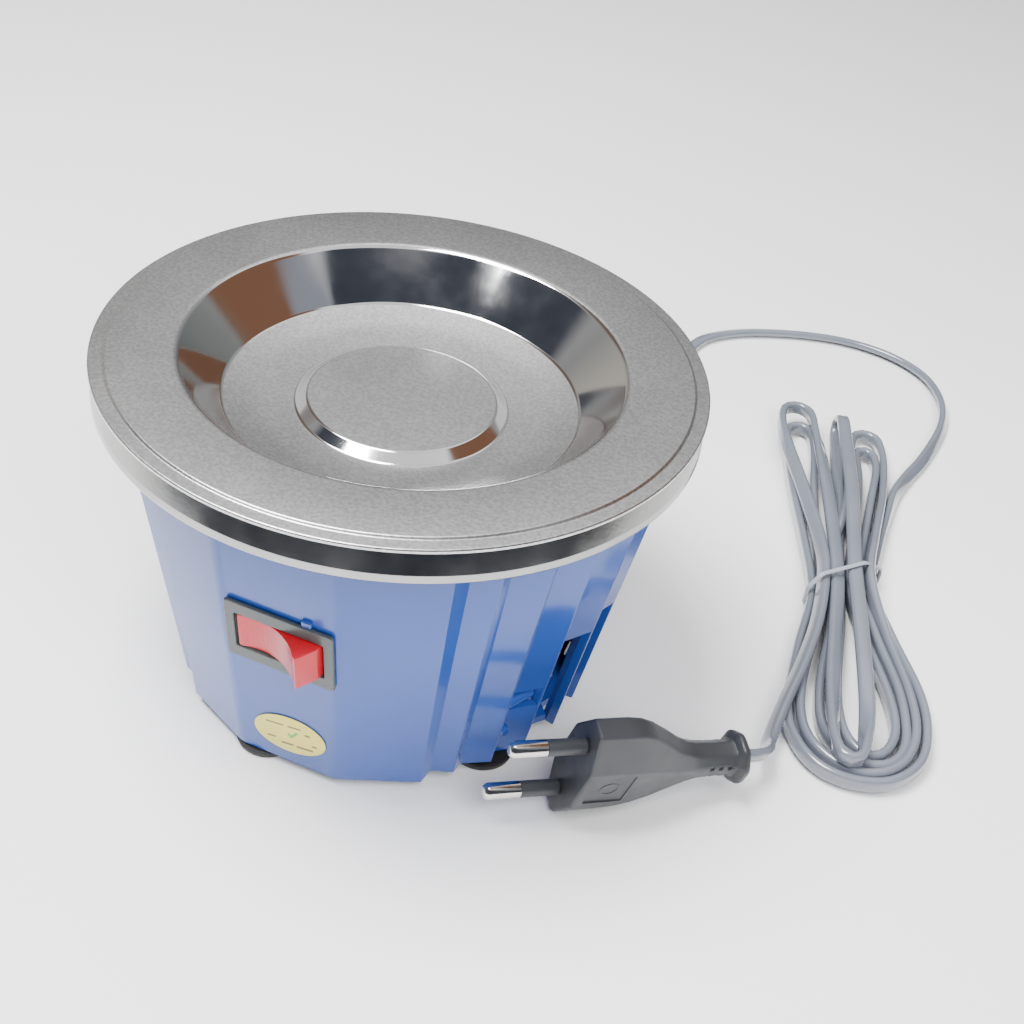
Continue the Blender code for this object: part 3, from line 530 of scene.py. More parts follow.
def world():
    """A studio that is pale overhead and dark towards the horizon and in front of the wheel."""
    made = bpy.data.worlds.new("studio")
    bpy.context.scene.world = made
    made.use_nodes = True
    tree = made.node_tree
    nodes = tree.nodes
    shade = nodes["Background"]
    where = nodes.new("ShaderNodeTexCoord")
    split = nodes.new("ShaderNodeSeparateXYZ")
    tree.links.new(where.outputs["Generated"], split.inputs["Vector"])
    ramp = nodes.new("ShaderNodeValToRGB")
    stops = [
        (0.0, (0.05, 0.055, 0.065)), (0.46, (0.05, 0.055, 0.065)), (0.53, (0.17, 0.18, 0.19)),
        (0.70, (0.36, 0.36, 0.36)), (0.82, (0.52, 0.52, 0.53)), (0.87, (1.6, 1.6, 1.62)),
        (1.0, (1.7, 1.7, 1.7)),
    ]
    elements = ramp.color_ramp.elements
    for place, colour in stops:
        spot = elements.new(place)
        spot.color = (*colour, 1.0)
    elements.remove(elements[0])
    elements.remove(elements[-1])
    height = nodes.new("ShaderNodeMapRange")
    height.inputs["From Min"].default_value = -1.0
    height.inputs["From Max"].default_value = 1.0
    tree.links.new(split.outputs["Z"], height.inputs["Value"])
    tree.links.new(height.outputs["Result"], ramp.inputs["Fac"])
    # The room in front of the wheel is dark up to well above the camera
    front = nodes.new("ShaderNodeMapRange")
    front.inputs["From Min"].default_value = 0.0
    front.inputs["From Max"].default_value = -0.12
    tree.links.new(split.outputs["Y"], front.inputs["Value"])
    low = nodes.new("ShaderNodeMapRange")
    low.inputs["From Min"].default_value = 0.88
    low.inputs["From Max"].default_value = 0.82
    tree.links.new(split.outputs["Z"], low.inputs["Value"])
    both = nodes.new("ShaderNodeMath")
    both.operation = "MULTIPLY"
    tree.links.new(front.outputs["Result"], both.inputs[0])
    tree.links.new(low.outputs["Result"], both.inputs[1])
    dark = nodes.new("ShaderNodeMix")
    dark.data_type = "RGBA"
    dark.inputs[7].default_value = (0.055, 0.062, 0.085, 1.0)
    tree.links.new(both.outputs[0], dark.inputs["Factor"])
    tree.links.new(ramp.outputs["Color"], dark.inputs[6])
    colour = dark.outputs[2]
    # Direction, cosines of its soft edge, and colour of each patch mirrored in the steel
    patches = [
        ((0.64, 0.47, 0.63), (0.90, 0.93), (0.26, 0.13, 0.08)),
        ((0.86, 0.02, 0.60), (0.965, 0.98), (0.34, 0.36, 0.42)),
        ((-0.68, 0.31, 0.63), (0.93, 0.97), (0.20, 0.15, 0.13)),
        ((-0.85, 0.39, -0.22), (0.78, 0.95), (0.60, 0.57, 0.50)),
        ((0.63, 0.79, -0.20), (0.80, 0.96), (0.20, 0.22, 0.20)),
    ]
    for direction, (edge, core), tint in patches:
        aim = nodes.new("ShaderNodeVectorMath")
        aim.operation = "DOT_PRODUCT"
        aim.inputs[1].default_value = Vector(direction).normalized()
        tree.links.new(where.outputs["Generated"], aim.inputs[0])
        fade = nodes.new("ShaderNodeMapRange")
        fade.inputs["From Min"].default_value = edge
        fade.inputs["From Max"].default_value = core
        tree.links.new(aim.outputs["Value"], fade.inputs["Value"])
        mix = nodes.new("ShaderNodeMix")
        mix.data_type = "RGBA"
        mix.inputs[7].default_value = (*tint, 1.0)
        tree.links.new(fade.outputs["Result"], mix.inputs["Factor"])
        tree.links.new(colour, mix.inputs[6])
        colour = mix.outputs[2]
    tree.links.new(colour, shade.inputs["Color"])
    shade.inputs["Strength"].default_value = 1.0


def lights():
    world()
    area_light("key", (-220.0, -120.0, 780.0), (0.0, 0.0, 40.0), (420.0, 420.0), 17.0)
    fill = area_light("fill", (420.0, -420.0, 640.0), (30.0, 30.0, 20.0), (500.0, 500.0), 9.0)
    fill.visible_glossy = False


# ---------------------------------------------------------------- wheel head

def wheel_head(satin, bright):
    border = HEAD_RADIUS - 3.6
    corners = [
        (0.0, DISC_TOP, 0.0), (DISC_RADIUS, DISC_TOP, 1.1), (DISC_FOOT, FLOOR_LOW, 1.2),
        (FLOOR_MIDDLE_RADIUS, FLOOR_MIDDLE_TOP, 30.0),
        (FLOOR_RADIUS - 0.2, FLOOR_TOP, 1.6), (MOUTH_RADIUS + 0.4, RIM_TOP, 2.2),
        (border, RIM_TOP, 0.5), (border + 0.5, RIM_TOP - 0.5, 0.5), (HEAD_RADIUS, RIM_TOP - 0.5, 0.5),
        (HEAD_RADIUS, RIM_TOP - 1.5, 0.2), (HEAD_RADIUS - 1.1, RIM_TOP - 1.4, 0.2),
        (border, RIM_TOP - 1.3, 0.4),
        (border - 0.6, RIM_TOP - SHEET, 0.4), (MOUTH_RADIUS + 0.9, RIM_TOP - SHEET, 1.4),
        (FLOOR_RADIUS + 0.4, FLOOR_TOP - SHEET, 2.0), (FLOOR_MIDDLE_RADIUS, FLOOR_MIDDLE_TOP - SHEET, 30.0),
        (DISC_FOOT - 0.4, FLOOR_LOW - SHEET, 1.0), (DISC_RADIUS - 0.4, DISC_TOP - SHEET, 1.0),
        (0.0, DISC_TOP - SHEET, 0.0),
    ]
    profile = rounded(corners, 6, closed=False)

    def pick(centre):
        radius = hypot(centre.x, centre.y)
        wall = FLOOR_RADIUS - 0.5 < radius < MOUTH_RADIUS + 0.6
        slope = DISC_RADIUS - 0.5 < radius < DISC_FOOT + 0.4
        return 1 if wall or slope else 0

    points, faces = turned(profile, HEAD_STEPS)
    studs = [moved(disc(1.5, 72.7, DISC_TOP - SHEET / 2, 16), Matrix.Translation(polar(angle, STUD_CIRCLE)))
             for angle in STUD_ANGLES]
    made = piece("wheel_head", *joined([(points, faces)] + studs), [satin, bright], pick)
    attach(made, "wheel")
    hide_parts("wheel_dish")


def wheel_skirt(bright):
    top = RIM_TOP - 1.8
    corners = [
        (-6.5, top, 0.0), (-1.9, top, 0.5), (-1.7, top - 1.0, 0.8), (-0.3, SKIRT_LOW + 2.6, 1.2),
        (-0.1, SKIRT_LOW + 0.9, 0.9), (-1.0, SKIRT_LOW, 0.6), (-1.9, SKIRT_LOW + 0.3, 0.4),
        (-1.1, SKIRT_LOW + 2.2, 1.0), (-2.5, top - 1.4, 0.8), (-2.8, top - SHEET, 0.4),
        (-6.5, top - SHEET, 0.0),
    ]
    profile = [(HEAD_RADIUS + inset, height) for inset, height in rounded(corners, 5, closed=False)]
    made = piece("skirt", *turned(profile, HEAD_STEPS), [bright])
    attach(made, "wheel")
    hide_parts("wheel_skirt")


# ---------------------------------------------------------------- housing

def shell_radius(height):
    return BASE_RADIUS + FLARE * (height - BASE_Z)


def facet_frame(angle, height, half_angle=FACET_HALF):
    """Placement on a flat facet: X along it, Y up it, Z out of it."""
    flat = cos(radians(half_angle))
    out = Vector(polar(angle, 1.0))
    up = (Vector((0.0, 0.0, 1.0)) + out * FLARE * flat).normalized()
    side = Vector((cos(radians(angle)), sin(radians(angle)), 0.0))
    place = Matrix((side, up, side.cross(up))).transposed().to_4x4()
    place.translation = out * shell_radius(height) * flat + Vector((0.0, 0.0, height))
    return place


def switch_seat():
    return facet_frame(0.0, SWITCH_Z) @ Matrix.Translation((SWITCH_SHIFT, 0.0, 0.0))


def gland_frame():
    return facet_frame(GLAND_ANGLE, GLAND_Z, (PANEL_HALF - FACET_HALF) / 2)


def housing_corners():
    """(angle, inset, is_panel, corner radius) from the front round to the front."""
    side = [
        (FACET_HALF, 0.0, True, 7.0), (PANEL_HALF, 0.0, True, 0.7),
        (PANEL_HALF + STEP_ANGLE, RIB_STEP, False, 0.4),
    ]
    for angle, proud in CRESTS:
        side.append((angle, -proud, False, 0.55))
        side.append((angle + STEP_ANGLE, RIB_STEP - 0.4 * proud, False, 0.4))
    side += [(180.0 - PANEL_HALF, 0.0, True, 0.7), (180.0 - FACET_HALF, 0.0, True, 7.0)]
    return side + [(360.0 - angle, inset, panel, radius) for angle, inset, panel, radius in reversed(side)]


def housing_loop(height, inset=0.0):
    """The housing's outline at a height, or at its stepped lower edge when height is None."""
    corners = []
    for angle, own, panel, radius in housing_corners():
        level = (BASE_Z if panel else RIB_BASE_Z) if height is None else height
        widening = 0.0 if panel else RIB_FLARE * (level - BASE_Z)
        corners.append((*polar(angle, shell_radius(level) + widening - own - inset, level), radius))
    return rounded(corners, 4)


def hole_loop(height, count):
    turns = [tau * i / count + radians(FACET_HALF) for i in range(count)]
    return [(DECK_HOLE * sin(turn), -DECK_HOLE * cos(turn), height) for turn in turns]


def radial_box(angle, radius, size, height):
    """A box at an angle from the front, for cutting the wall."""
    return moved(box(size, (0.0, -radius, height)), Matrix.Rotation(radians(angle), 4, "Z"))


def screw_places(circle, angles):
    return [polar(angle, circle) for angle in angles]


def raised(loop, height):
    return [(x, y, z + height) for x, y, z in loop]


def housing(plastic):
    """The ribbed tub, with its vents, latch windows, switch cut-out, lead hole and screw holes."""
    count = len(housing_loop(WALL_TOP))
    loops = [
        housing_loop(None, 0.35), raised(housing_loop(None), 0.35), housing_loop(WALL_TOP - 0.5),
        housing_loop(WALL_TOP - 0.15, 0.15), housing_loop(WALL_TOP, 0.5), housing_loop(WALL_TOP, WALL),
        housing_loop(DECK_TOP, WALL), hole_loop(DECK_TOP, count), hole_loop(DECK_BOTTOM, count),
        housing_loop(DECK_BOTTOM, WALL), housing_loop(None, WALL),
    ]
    made = piece("tub", *skin(loops, closed=True), [plastic], crease=25)
    cutters = [radial_box(angle, BASE_RADIUS + 2.0, (*VENT_SIZE, VENT_HEIGHT), VENT_HEIGHT / 2)
               for angle in both_sides(VENT_ANGLES)]
    cutters += [radial_box(angle, BASE_RADIUS + 2.0, LATCH_SIZE, LATCH_Z)
                for angle in both_sides(LATCH_ANGLES)]
    cutters.append(moved(box((25.0, 16.0, 12.0)), switch_seat()))
    cutters.append(moved(disc(4.5, -9.0, 6.0, 24), gland_frame()))
    holes = screw_places(BEARING_SCREW_CIRCLE, BEARING_SCREW_ANGLES) + screw_places(POST_CIRCLE, POST_ANGLES)
    drill = disc(SCREW_HOLE, DECK_BOTTOM - 2.0, DECK_TOP + 2.0, 16)
    cutters += [moved(drill, Matrix.Translation(spot)) for spot in holes]
    carve(made, [joined(cutters)])
    made.data.set_sharp_from_angle(angle=radians(28))
    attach(made, "base")
    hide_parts("housing")


def latch_pegs(plastic):
    """Round pegs across the latch windows, and small catches beside the ribs lower down."""
    solids = []
    corners = [(0.0, -3.9, 0.0), (1.7, -3.9, 0.6), (1.7, 3.9, 0.6), (0.0, 3.9, 0.0)]
    peg = turned(rounded(corners, closed=False), 24)
    for angle in both_sides(LATCH_ANGLES):
        start = Vector(polar(angle, BASE_RADIUS, LATCH_Z - 0.6))
        across = Vector(polar(angle + 90.0, 1.0))
        solids.append(moved(peg, frame_along(start, across)))
    corners = [(0.0, 0.0, 0.0), (1.5, 0.0, 0.1), (1.4, 2.6, 0.6), (0.0, 2.6, 0.0)]
    catch = turned(rounded(corners, closed=False), 24)
    for angle in both_sides((CATCH_ANGLE,)):
        start = Vector(polar(angle, shell_radius(CATCH_Z) - WALL, CATCH_Z))
        out = Vector(polar(angle, 1.0))
        solids.append(moved(catch, frame_along(start, out)))
    made = piece("latch_pegs", *joined(solids), [plastic])
    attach(made, "base")


def screws(steel):
    """Pan-head screws of the bearing housing, motor and posts, each with a cross recess."""
    wide = [(0.0, -3.0, 0.0), (1.25, -3.0, 0.1), (1.25, 0.0, 0.1), (2.9, 0.0, 0.2), (2.8, 1.1, 0.7),
            (0.0, 1.5, 0.0)]
    slim = [(0.0, -4.0, 0.0), (1.25, -4.0, 0.1), (1.25, 0.0, 0.1), (2.2, 0.0, 0.2), (2.1, 0.8, 0.4),
            (0.0, 1.1, 0.0)]
    head = turned(rounded(wide, closed=False), 24)
    low_head = turned(rounded(slim, closed=False), 24)
    slots = [box((2.6, 0.5, 0.9), (0.0, 0.0, 1.3)), box((0.5, 2.6, 0.9), (0.0, 0.0, 1.3))]
    offsets = (-MOTOR_SCREW_HALF, MOTOR_SCREW_HALF)
    places = [(x, y, DECK_TOP + GAP, head) for x, y, _ in screw_places(POST_CIRCLE, POST_ANGLES)]
    places += [(x, MOTOR_Y + y, MOTOR_SCREW_Z, head) for x in offsets for y in offsets]
    places += [(x, y, DECK_TOP + GAP, low_head)
               for x, y, _ in screw_places(BEARING_SCREW_CIRCLE, BEARING_SCREW_ANGLES)]
    for number, (x, y, z, shape) in enumerate(places, 1):
        sunk = 0.4 if shape is low_head else 0.0
        made = piece(f"screw_{number}", *moved(shape, Matrix.Translation((x, y, z))), [steel])
        carve(made, [moved(slot, Matrix.Translation((x, y, z - sunk))) for slot in slots])
        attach(made, "base")


def feet(rubber):
    corners = [
        (1.8, 1.5, 0.1), (3.4, 1.5, 0.2), (3.4, 0.0, 0.3), (FOOT_RADIUS - 0.4, 0.0, 0.8),
        (FOOT_RADIUS, 1.9, 0.5),
        (FOOT_RADIUS - 0.5, BASE_Z - GAP, 0.3), (3.9, BASE_Z - GAP, 0.1), (3.9, 3.7, 0.1), (1.8, 3.7, 0.1),
    ]
    solid = turned(rounded(corners, 4), 48)
    for number in range(1, FOOT_COUNT + 1):
        place = Matrix.Translation(polar(FOOT_START + 360.0 / FOOT_COUNT * (number - 1), FOOT_CIRCLE))
        made = piece(f"rubber_foot_{number}", *moved(solid, place), [rubber])
        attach(made, "base")
        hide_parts(f"foot_{number}")


# ---------------------------------------------------------------- switch and label

def rectangle(width, height, radius, steps=5):
    x = width / 2
    y = height / 2
    return rounded([(-x, -y, radius), (x, -y, radius), (x, y, radius), (-x, y, radius)], steps)


def switch(black, red):
    seat = switch_seat()
    outer = rectangle(BEZEL_WIDTH, BEZEL_HEIGHT, 0.9)
    made = piece("switch_bezel", *moved(pillow(outer, GAP, GAP + BEZEL_THICK, 0.35), seat), [black])
    reach = hypot(ROCKER_HALF, ROCKER_TIP)
    opening = 2 * (reach + 0.4)
    mouth = rectangle(opening, ROCKER_HEIGHT + 0.8, 0.5)
    carve(made, [moved(prism(mouth, -9.0, 5.0), seat)])
    body = prism(rectangle(*SWITCH_BODY, 0.8), -16.0, GAP + 0.1)
    inside = piece("switch_body", *moved(body, seat), [black])
    carve(inside, [moved(prism(mouth, -11.0, 5.0), seat)])
    for part in (made, inside):
        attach(part, "base")
    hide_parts("switch_frame")
    soften(made, 0.18)

    face = [(ROCKER_HALF * x, ROCKER_TIP - ROCKER_HOLLOW * (1.0 - x * x), 0.0)
            for x in (1.0 - i / 8 for i in range(17))]
    face[0] = (*face[0][:2], 0.5)
    face[-1] = (*face[-1][:2], 0.5)
    left = [(-reach * cos(turn), reach * sin(turn), 0.2) for turn in (0.0, radians(-14.0), radians(-26.0))]
    right = [(reach * cos(turn), reach * sin(turn), 0.2) for turn in (radians(-26.0), radians(-14.0), 0.0)]
    outline = rounded(face + left + [(-5.0, -5.2, 0.4), (5.0, -5.2, 0.4)] + right, 2)
    side = ROCKER_HEIGHT / 2
    loops = []
    for y, shrink in ((-side, 0.35), (-side + 0.1, 0.1), (-side + 0.35, 0.0),
                      (side - 0.35, 0.0), (side - 0.1, 0.1), (side, 0.35)):
        scale = 1.0 - shrink / ROCKER_HALF
        loops.append([(x * scale, y, z * scale) for x, z in outline])
    turn = seat @ Matrix.Translation((0.0, 0.0, PIVOT_DEPTH)) @ Matrix.Rotation(radians(-ROCKER_TILT), 4, "Y")
    rocker = piece("rocker", *moved(skin(loops), turn), [red], crease=40)
    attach(rocker, "rocker")
    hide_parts("switch_rocker")
    catch = moved(pillow(rectangle(2.6, 1.8, 0.6), 0.0, 0.9, 0.4), seat @ Matrix.Translation((6.8, 9.7, 0.0)))
    nub = piece("switch_catch", *catch, [frame["nodes"]["housing"].active_material])
    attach(nub, "base")


def label(paper, ink, green):
    seat = facet_frame(0.0, LABEL_Z) @ Matrix.Translation((LABEL_SHIFT, 0.0, 0.15))
    seat = seat @ Matrix.Rotation(radians(LABEL_TURN), 4, "Z")
    turns = [tau * i / 96 for i in range(96)]
    oval = [(LABEL_WIDTH / 2 * cos(turn), LABEL_HEIGHT / 2 * sin(turn)) for turn in turns]
    made = piece("oval_label", *moved(pillow(oval, 0.0, 0.2, 0.08), seat), [paper])
    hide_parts("label_sticker")
    bars = []
    for x, y, width, height in ((-3.4, 3.2, 4.6, 0.5), (1.8, 3.2, 3.4, 0.5), (5.0, 1.6, 1.4, 0.7),
                                (-5.2, -2.0, 2.2, 0.6), (-1.2, -3.4, 3.2, 0.7), (3.4, -3.6, 4.4, 0.7),
                                (6.3, -1.8, 1.2, 0.6)):
        west, east, south, north = x - width / 2, x + width / 2, y - height / 2, y + height / 2
        bars.append(prism([(west, south), (east, south), (east, north), (west, north)], 0.19, 0.22))
    marks = piece("label_bars", *moved(joined(bars), seat), [ink])
    tick = [(-0.6, 0.3), (0.3, -1.0), (2.6, 1.4), (2.1, 1.8), (0.4, 0.1), (-0.1, 0.8)]
    check = piece("label_tick", *moved(prism(tick, 0.19, 0.225), seat), [green])
    for part in (made, marks, check):
        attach(part, "base")


# ---------------------------------------------------------------- mains lead

def hank_frame():
    place = Matrix.Rotation(atan2(HANK_HEADING[1], HANK_HEADING[0]), 4, "Z")
    place.translation = Vector((*HANK_CENTRE, 0.0))
    return place


def plug_frame():
    flange = Vector(PLUG_FLANGE)
    heading = (Vector(PLUG_FACE) - flange).normalized()
    away = heading.cross(Vector((0.0, 0.0, 1.0))).normalized()
    upright = away.cross(heading)
    across = upright * cos(radians(PLUG_ROLL)) - away * sin(radians(PLUG_ROLL))
    return frame_along(flange, heading, across)


# Lead from the gland to the hank: x, y, z and lean (0 stands on edge, 90 lies flat)
LEAD_ROUTE = [
    (38.4, 82.0, 5.6, 80), (39.6, 89.0, 3.4, 88), (39.6, 98.0, 1.9, 90), (37.0, 115.0, 1.4, 90),
    (32.5, 138.0, 1.4, 90),
    (28.6, 162.0, 1.4, 90), (26.6, 181.0, 1.4, 86), (28.4, 194.5, 1.5, 78), (34.0, 203.5, 1.6, 70),
    (43.5, 211.5, 1.7, 66), (58.0, 219.4, 1.7, 62), (72.0, 223.8, 1.8, 58), (84.4, 224.4, 1.9, 54),
    (96.1, 221.6, 2.0, 48), (106.2, 215.0, 2.1, 40), (112.8, 205.3, 2.1, 34), (116.1, 195.0, 2.2, 32),
    (117.0, 183.7, 2.2, 34), (116.0, 171.0, 2.1, 42), (114.2, 159.4, 2.0, 50), (112.0, 149.6, 2.2, 46),
]
# Turns of the hank in its own frame: along, across, height and lean
HANK_ROUTE = [
    (-52.0, 19.0, 2.6, 34), (-38.0, 15.4, 3.0, 18), (-18.0, 10.8, 3.5, 0), (0.0, 8.2, 3.5, 0),
    (20.0, 12.6, 3.4, 0), (40.0, 18.4, 3.2, 0), (54.0, 19.4, 3.2, 0), (66.0, 16.6, 3.2, 0),
    (74.0, 9.0, 3.2, 0),
    (76.0, 0.0, 3.2, 0), (73.5, -8.6, 3.2, 0), (66.0, -14.6, 3.2, 0), (54.0, -17.0, 3.2, 0),
    (30.0, -13.8, 3.4, 0),
    (12.0, -10.2, 3.5, 0), (0.0, -9.4, 3.5, 0),
    (-20.0, -11.2, 3.5, 0), (-45.0, -14.0, 3.4, 0), (-64.0, -15.2, 3.2, 0), (-75.6, -15.0, 3.2, 0),
    (-78.6, -13.9, 3.2, 0), (-80.0, -11.0, 3.2, 0), (-78.6, -8.1, 3.2, 0), (-75.6, -7.0, 3.2, 0),
    (-64.0, -6.6, 3.2, 0), (-40.0, -7.4, 3.4, 0), (0.0, -6.6, 3.5, 0),
    (20.0, -8.4, 3.4, 0), (40.0, -12.4, 3.2, 0), (54.0, -13.6, 3.2, 0), (64.0, -11.6, 3.2, 0),
    (70.6, -5.4, 3.2, 0),
    (73.0, 1.4, 3.2, 0), (70.8, 8.4, 3.2, 0), (64.4, 13.8, 3.2, 0), (54.0, 16.5, 3.2, 0),
    (40.0, 15.6, 3.2, 0),
    (20.0, 10.6, 4.6, 5), (0.0, 6.6, 8.0, 10),
    (-20.0, 9.2, 7.2, 8), (-45.0, 13.8, 4.6, 0), (-66.0, 15.8, 3.4, 0), (-76.6, 15.2, 3.2, 0),
    (-80.0, 13.9, 3.2, 0), (-81.5, 10.7, 3.2, 0), (-80.0, 7.5, 3.2, 0), (-76.6, 6.2, 3.2, 0),
    (-62.0, 5.0, 3.4, 0), (-35.0, 1.6, 6.0, 0), (-16.0, -2.4, 4.2, 0), (0.0, -3.8, 3.5, 0),
    (20.0, -4.8, 3.4, 0), (40.0, -7.8, 3.2, 0), (54.0, -8.6, 3.2, 0), (62.0, -6.6, 3.2, 0),
    (67.6, -1.6, 3.2, 0),
    (69.8, 4.0, 3.2, 0), (67.8, 9.2, 3.2, 0), (62.4, 12.6, 3.2, 0), (54.0, 13.8, 3.2, 0),
    (40.0, 12.8, 3.2, 0),
    (20.0, 8.0, 3.4, 0), (0.0, 4.6, 3.5, 0),
    (-20.0, 6.8, 3.4, 0), (-45.0, 10.6, 3.4, 0), (-60.0, 13.0, 3.2, 0), (-68.0, 13.0, 3.2, 0),
    (-70.3, 12.1, 3.2, 0), (-71.3, 10.0, 3.2, 0), (-70.3, 7.9, 3.2, 0), (-68.0, 7.0, 3.2, 0),
    (-50.0, 7.0, 3.3, 0), (-20.0, 3.4, 3.4, 0), (0.0, 1.8, 3.5, 0),
    (20.0, 4.4, 3.4, 0), (40.0, 9.4, 3.2, 0), (52.0, 11.0, 3.2, 0), (60.0, 10.0, 3.2, 0),
    (65.6, 6.6, 3.2, 0),
    (66.2, 2.2, 3.2, 0), (61.0, -2.0, 3.2, 0), (52.0, -3.6, 3.2, 0), (40.0, -3.4, 3.2, 0),
    (20.0, -1.8, 3.4, 0),
    (0.0, -1.0, 3.5, 0),
    (-30.0, -0.4, 3.4, 30), (-55.0, 0.8, 2.4, 75), (-71.0, 1.4, 1.7, 90), (-79.6, 1.6, 1.9, 90),
    (-82.4, 1.7, 3.1, 90),
    (-83.6, 1.8, 5.5, 90), (-82.4, 2.0, 7.9, 90), (-79.6, 2.2, 9.1, 90), (-70.0, 2.4, 9.6, 90),
    (-40.0, 2.8, 10.4, 90), (-15.0, 2.4, 9.6, 90), (0.0, 2.2, 9.2, 90),
    (20.0, 2.6, 8.8, 90), (40.0, 3.0, 7.9, 85), (54.0, 2.9, 7.3, 70), (63.0, 2.0, 7.3, 35),
    (69.4, 1.2, 7.6, 5),
    (72.0, 0.2, 7.7, 0), (73.0, -2.1, 7.7, 0), (72.0, -4.4, 7.7, 0), (69.4, -5.4, 7.6, 5),
    (62.0, -6.0, 7.3, 30), (44.0, -5.6, 7.3, 60), (24.0, -4.2, 7.6, 60),
    (0.0, -2.6, 7.7, 70),
    (-30.0, -3.4, 7.6, 75), (-56.0, -5.0, 7.4, 60), (-73.0, -6.4, 6.9, 25), (-81.4, -7.4, 6.6, 0),
    (-85.4, -8.9, 6.4, 0),
    (-87.0, -12.4, 6.4, 0), (-85.4, -15.9, 6.4, 0), (-81.4, -17.2, 6.4, 0), (-74.0, -17.3, 6.6, 10),
    (-62.0, -15.8, 7.0, 35), (-40.0, -11.6, 7.5, 45),
    (-16.0, -7.6, 7.8, 40), (0.0, -6.6, 7.8, 35),
    (20.0, -8.8, 7.5, 40), (38.0, -13.0, 7.2, 45), (52.0, -17.4, 6.4, 40), (62.0, -20.4, 5.4, 40),
    (70.0, -22.4, 5.6, 40),
]
# Tail from the hank to the plug
TAIL_ROUTE = [(102.9, 3.8, 8.4, 30)]


def flat_section():
    """Outline of the flat twin lead: two round cores with a shallow web between them."""
    half = CORD_THICK / 2
    centre = CORD_WIDTH / 2 - half
    turns = [radians(-75 + 25 * i) for i in range(7)]
    right = [(centre + half * cos(turn), half * sin(turn)) for turn in turns]
    left = [(-x, -y) for x, y in right]
    return right + [(0.0, half * 0.86)] + left + [(0.0, -half * 0.86)]


def ribbon(path, section):
    """Sweep the section along path points of (x, y, z, lean)."""
    loops = []
    side = None
    for i, point in enumerate(path):
        here = point.to_3d()
        along = (path[min(i + 1, len(path) - 1)].to_3d() - path[max(i - 1, 0)].to_3d()).normalized()
        level = along.cross(Vector((0.0, 0.0, 1.0)))
        if level.length > 0.35 or side is None:
            level.normalize()
            if side is not None and level.dot(side) < 0.0:
                level.negate()
            side = level
        side = (side - along * side.dot(along)).normalized()
        upright = (Vector((0.0, 0.0, 1.0)) - along * along.z)
        upright = upright.normalized() if upright.length > 0.35 else along.cross(side)
        lean = radians(point[3])
        wide = (upright * cos(lean) + side * sin(lean)).normalized()
        thin = along.cross(wide)
        loops.append([tuple(here + wide * x + thin * y) for x, y in section])
    return skin(loops)


def lead(vinyl, tie_plastic, rubber):
    hank = hank_frame()
    gland = gland_frame()
    start = [(*(gland @ Vector((0.0, 0.0, GLAND_REACH + reach))), 70.0) for reach in (-4.0, GAP, 5.0)]
    turns = [(*(hank @ Vector(point[:3])), point[3]) for point in HANK_ROUTE]
    plug = plug_frame()
    end = [(*(plug @ Vector((0.0, 0.0, -reach))), 20.0) for reach in (6.0, GAP, -3.0)]
    route = start + LEAD_ROUTE + turns + TAIL_ROUTE + end
    path = curve_through(route, CORD_STEP)
    made = piece("mains_lead", *ribbon(path, flat_section()), [vinyl], crease=180)
    centre = [tuple(point.to_3d() * MM) for point in path]
    length = sum((Vector(b) - Vector(a)).length for a, b in zip(centre, centre[1:]))
    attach(made, "base")
    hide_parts("cord_lead", "cord_tail", "cord_hank")
    tie = tie_band(tie_plastic)
    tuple(centre[1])
    gland_sleeve(rubber)


def tie_band(plastic):
    """A thin band slanting round the hank's waist."""
    place = Matrix.Rotation(atan2(HANK_HEADING[1], HANK_HEADING[0]) + radians(TIE_SLANT), 4, "Z")
    place.translation = Vector((*HANK_CENTRE, 0.0))
    corners = [
        (-13.4, 0.9, 1.6), (12.8, 0.9, 1.6), (12.8, 6.6, 2.6), (5.6, 11.0, 3.0), (-9.6, 11.0, 3.0),
        (-13.4, 7.0, 2.6),
    ]
    ring = rounded(corners, 5)
    loops = []
    for step in range(8):
        turn = tau * step / 8
        loops.append([(0.75 * cos(turn), y * (1 + 0.028 * sin(turn)),
                       z + 0.4 * sin(turn) * (1 if z > 6 else -1)) for y, z in ring])
    made = piece("tie", *moved(skin(loops, closed=True), place), [plastic], crease=60)
    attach(made, "base")
    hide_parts("cord_tie")
    return made


def gland_sleeve(rubber):
    """Strain relief: a collar on the wall and a tapering sleeve with cross slots."""
    corners = [
        (0.0, -WALL - 2.4, 0.0), (5.6, -WALL - 2.4, 0.4), (5.6, -WALL - 0.6, 0.3), (4.2, -WALL - 0.6, 0.1),
        (4.2, 0.4, 0.1), (6.2, 0.4, 0.4), (6.2, 2.2, 0.8), (4.6, 3.2, 0.8),
    ]
    for i in range(6):
        low = 5.0 + 3.2 * i
        radius = 4.5 - 0.2 * i
        corners += [(radius, low, 0.2), (radius - 0.9, low + 0.1, 0.2), (radius - 0.9, low + 1.2, 0.2),
                    (radius - 0.1, low + 1.3, 0.2)]
    corners += [(3.2, GLAND_REACH - 0.4, 0.5), (2.9, GLAND_REACH, 0.2), (0.0, GLAND_REACH, 0.0)]
    solid = turned(rounded(corners, 3, closed=False), 40)
    made = piece("lead_sleeve", *moved(solid, gland_frame()), [rubber])
    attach(made, "base")
    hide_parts("cord_gland")


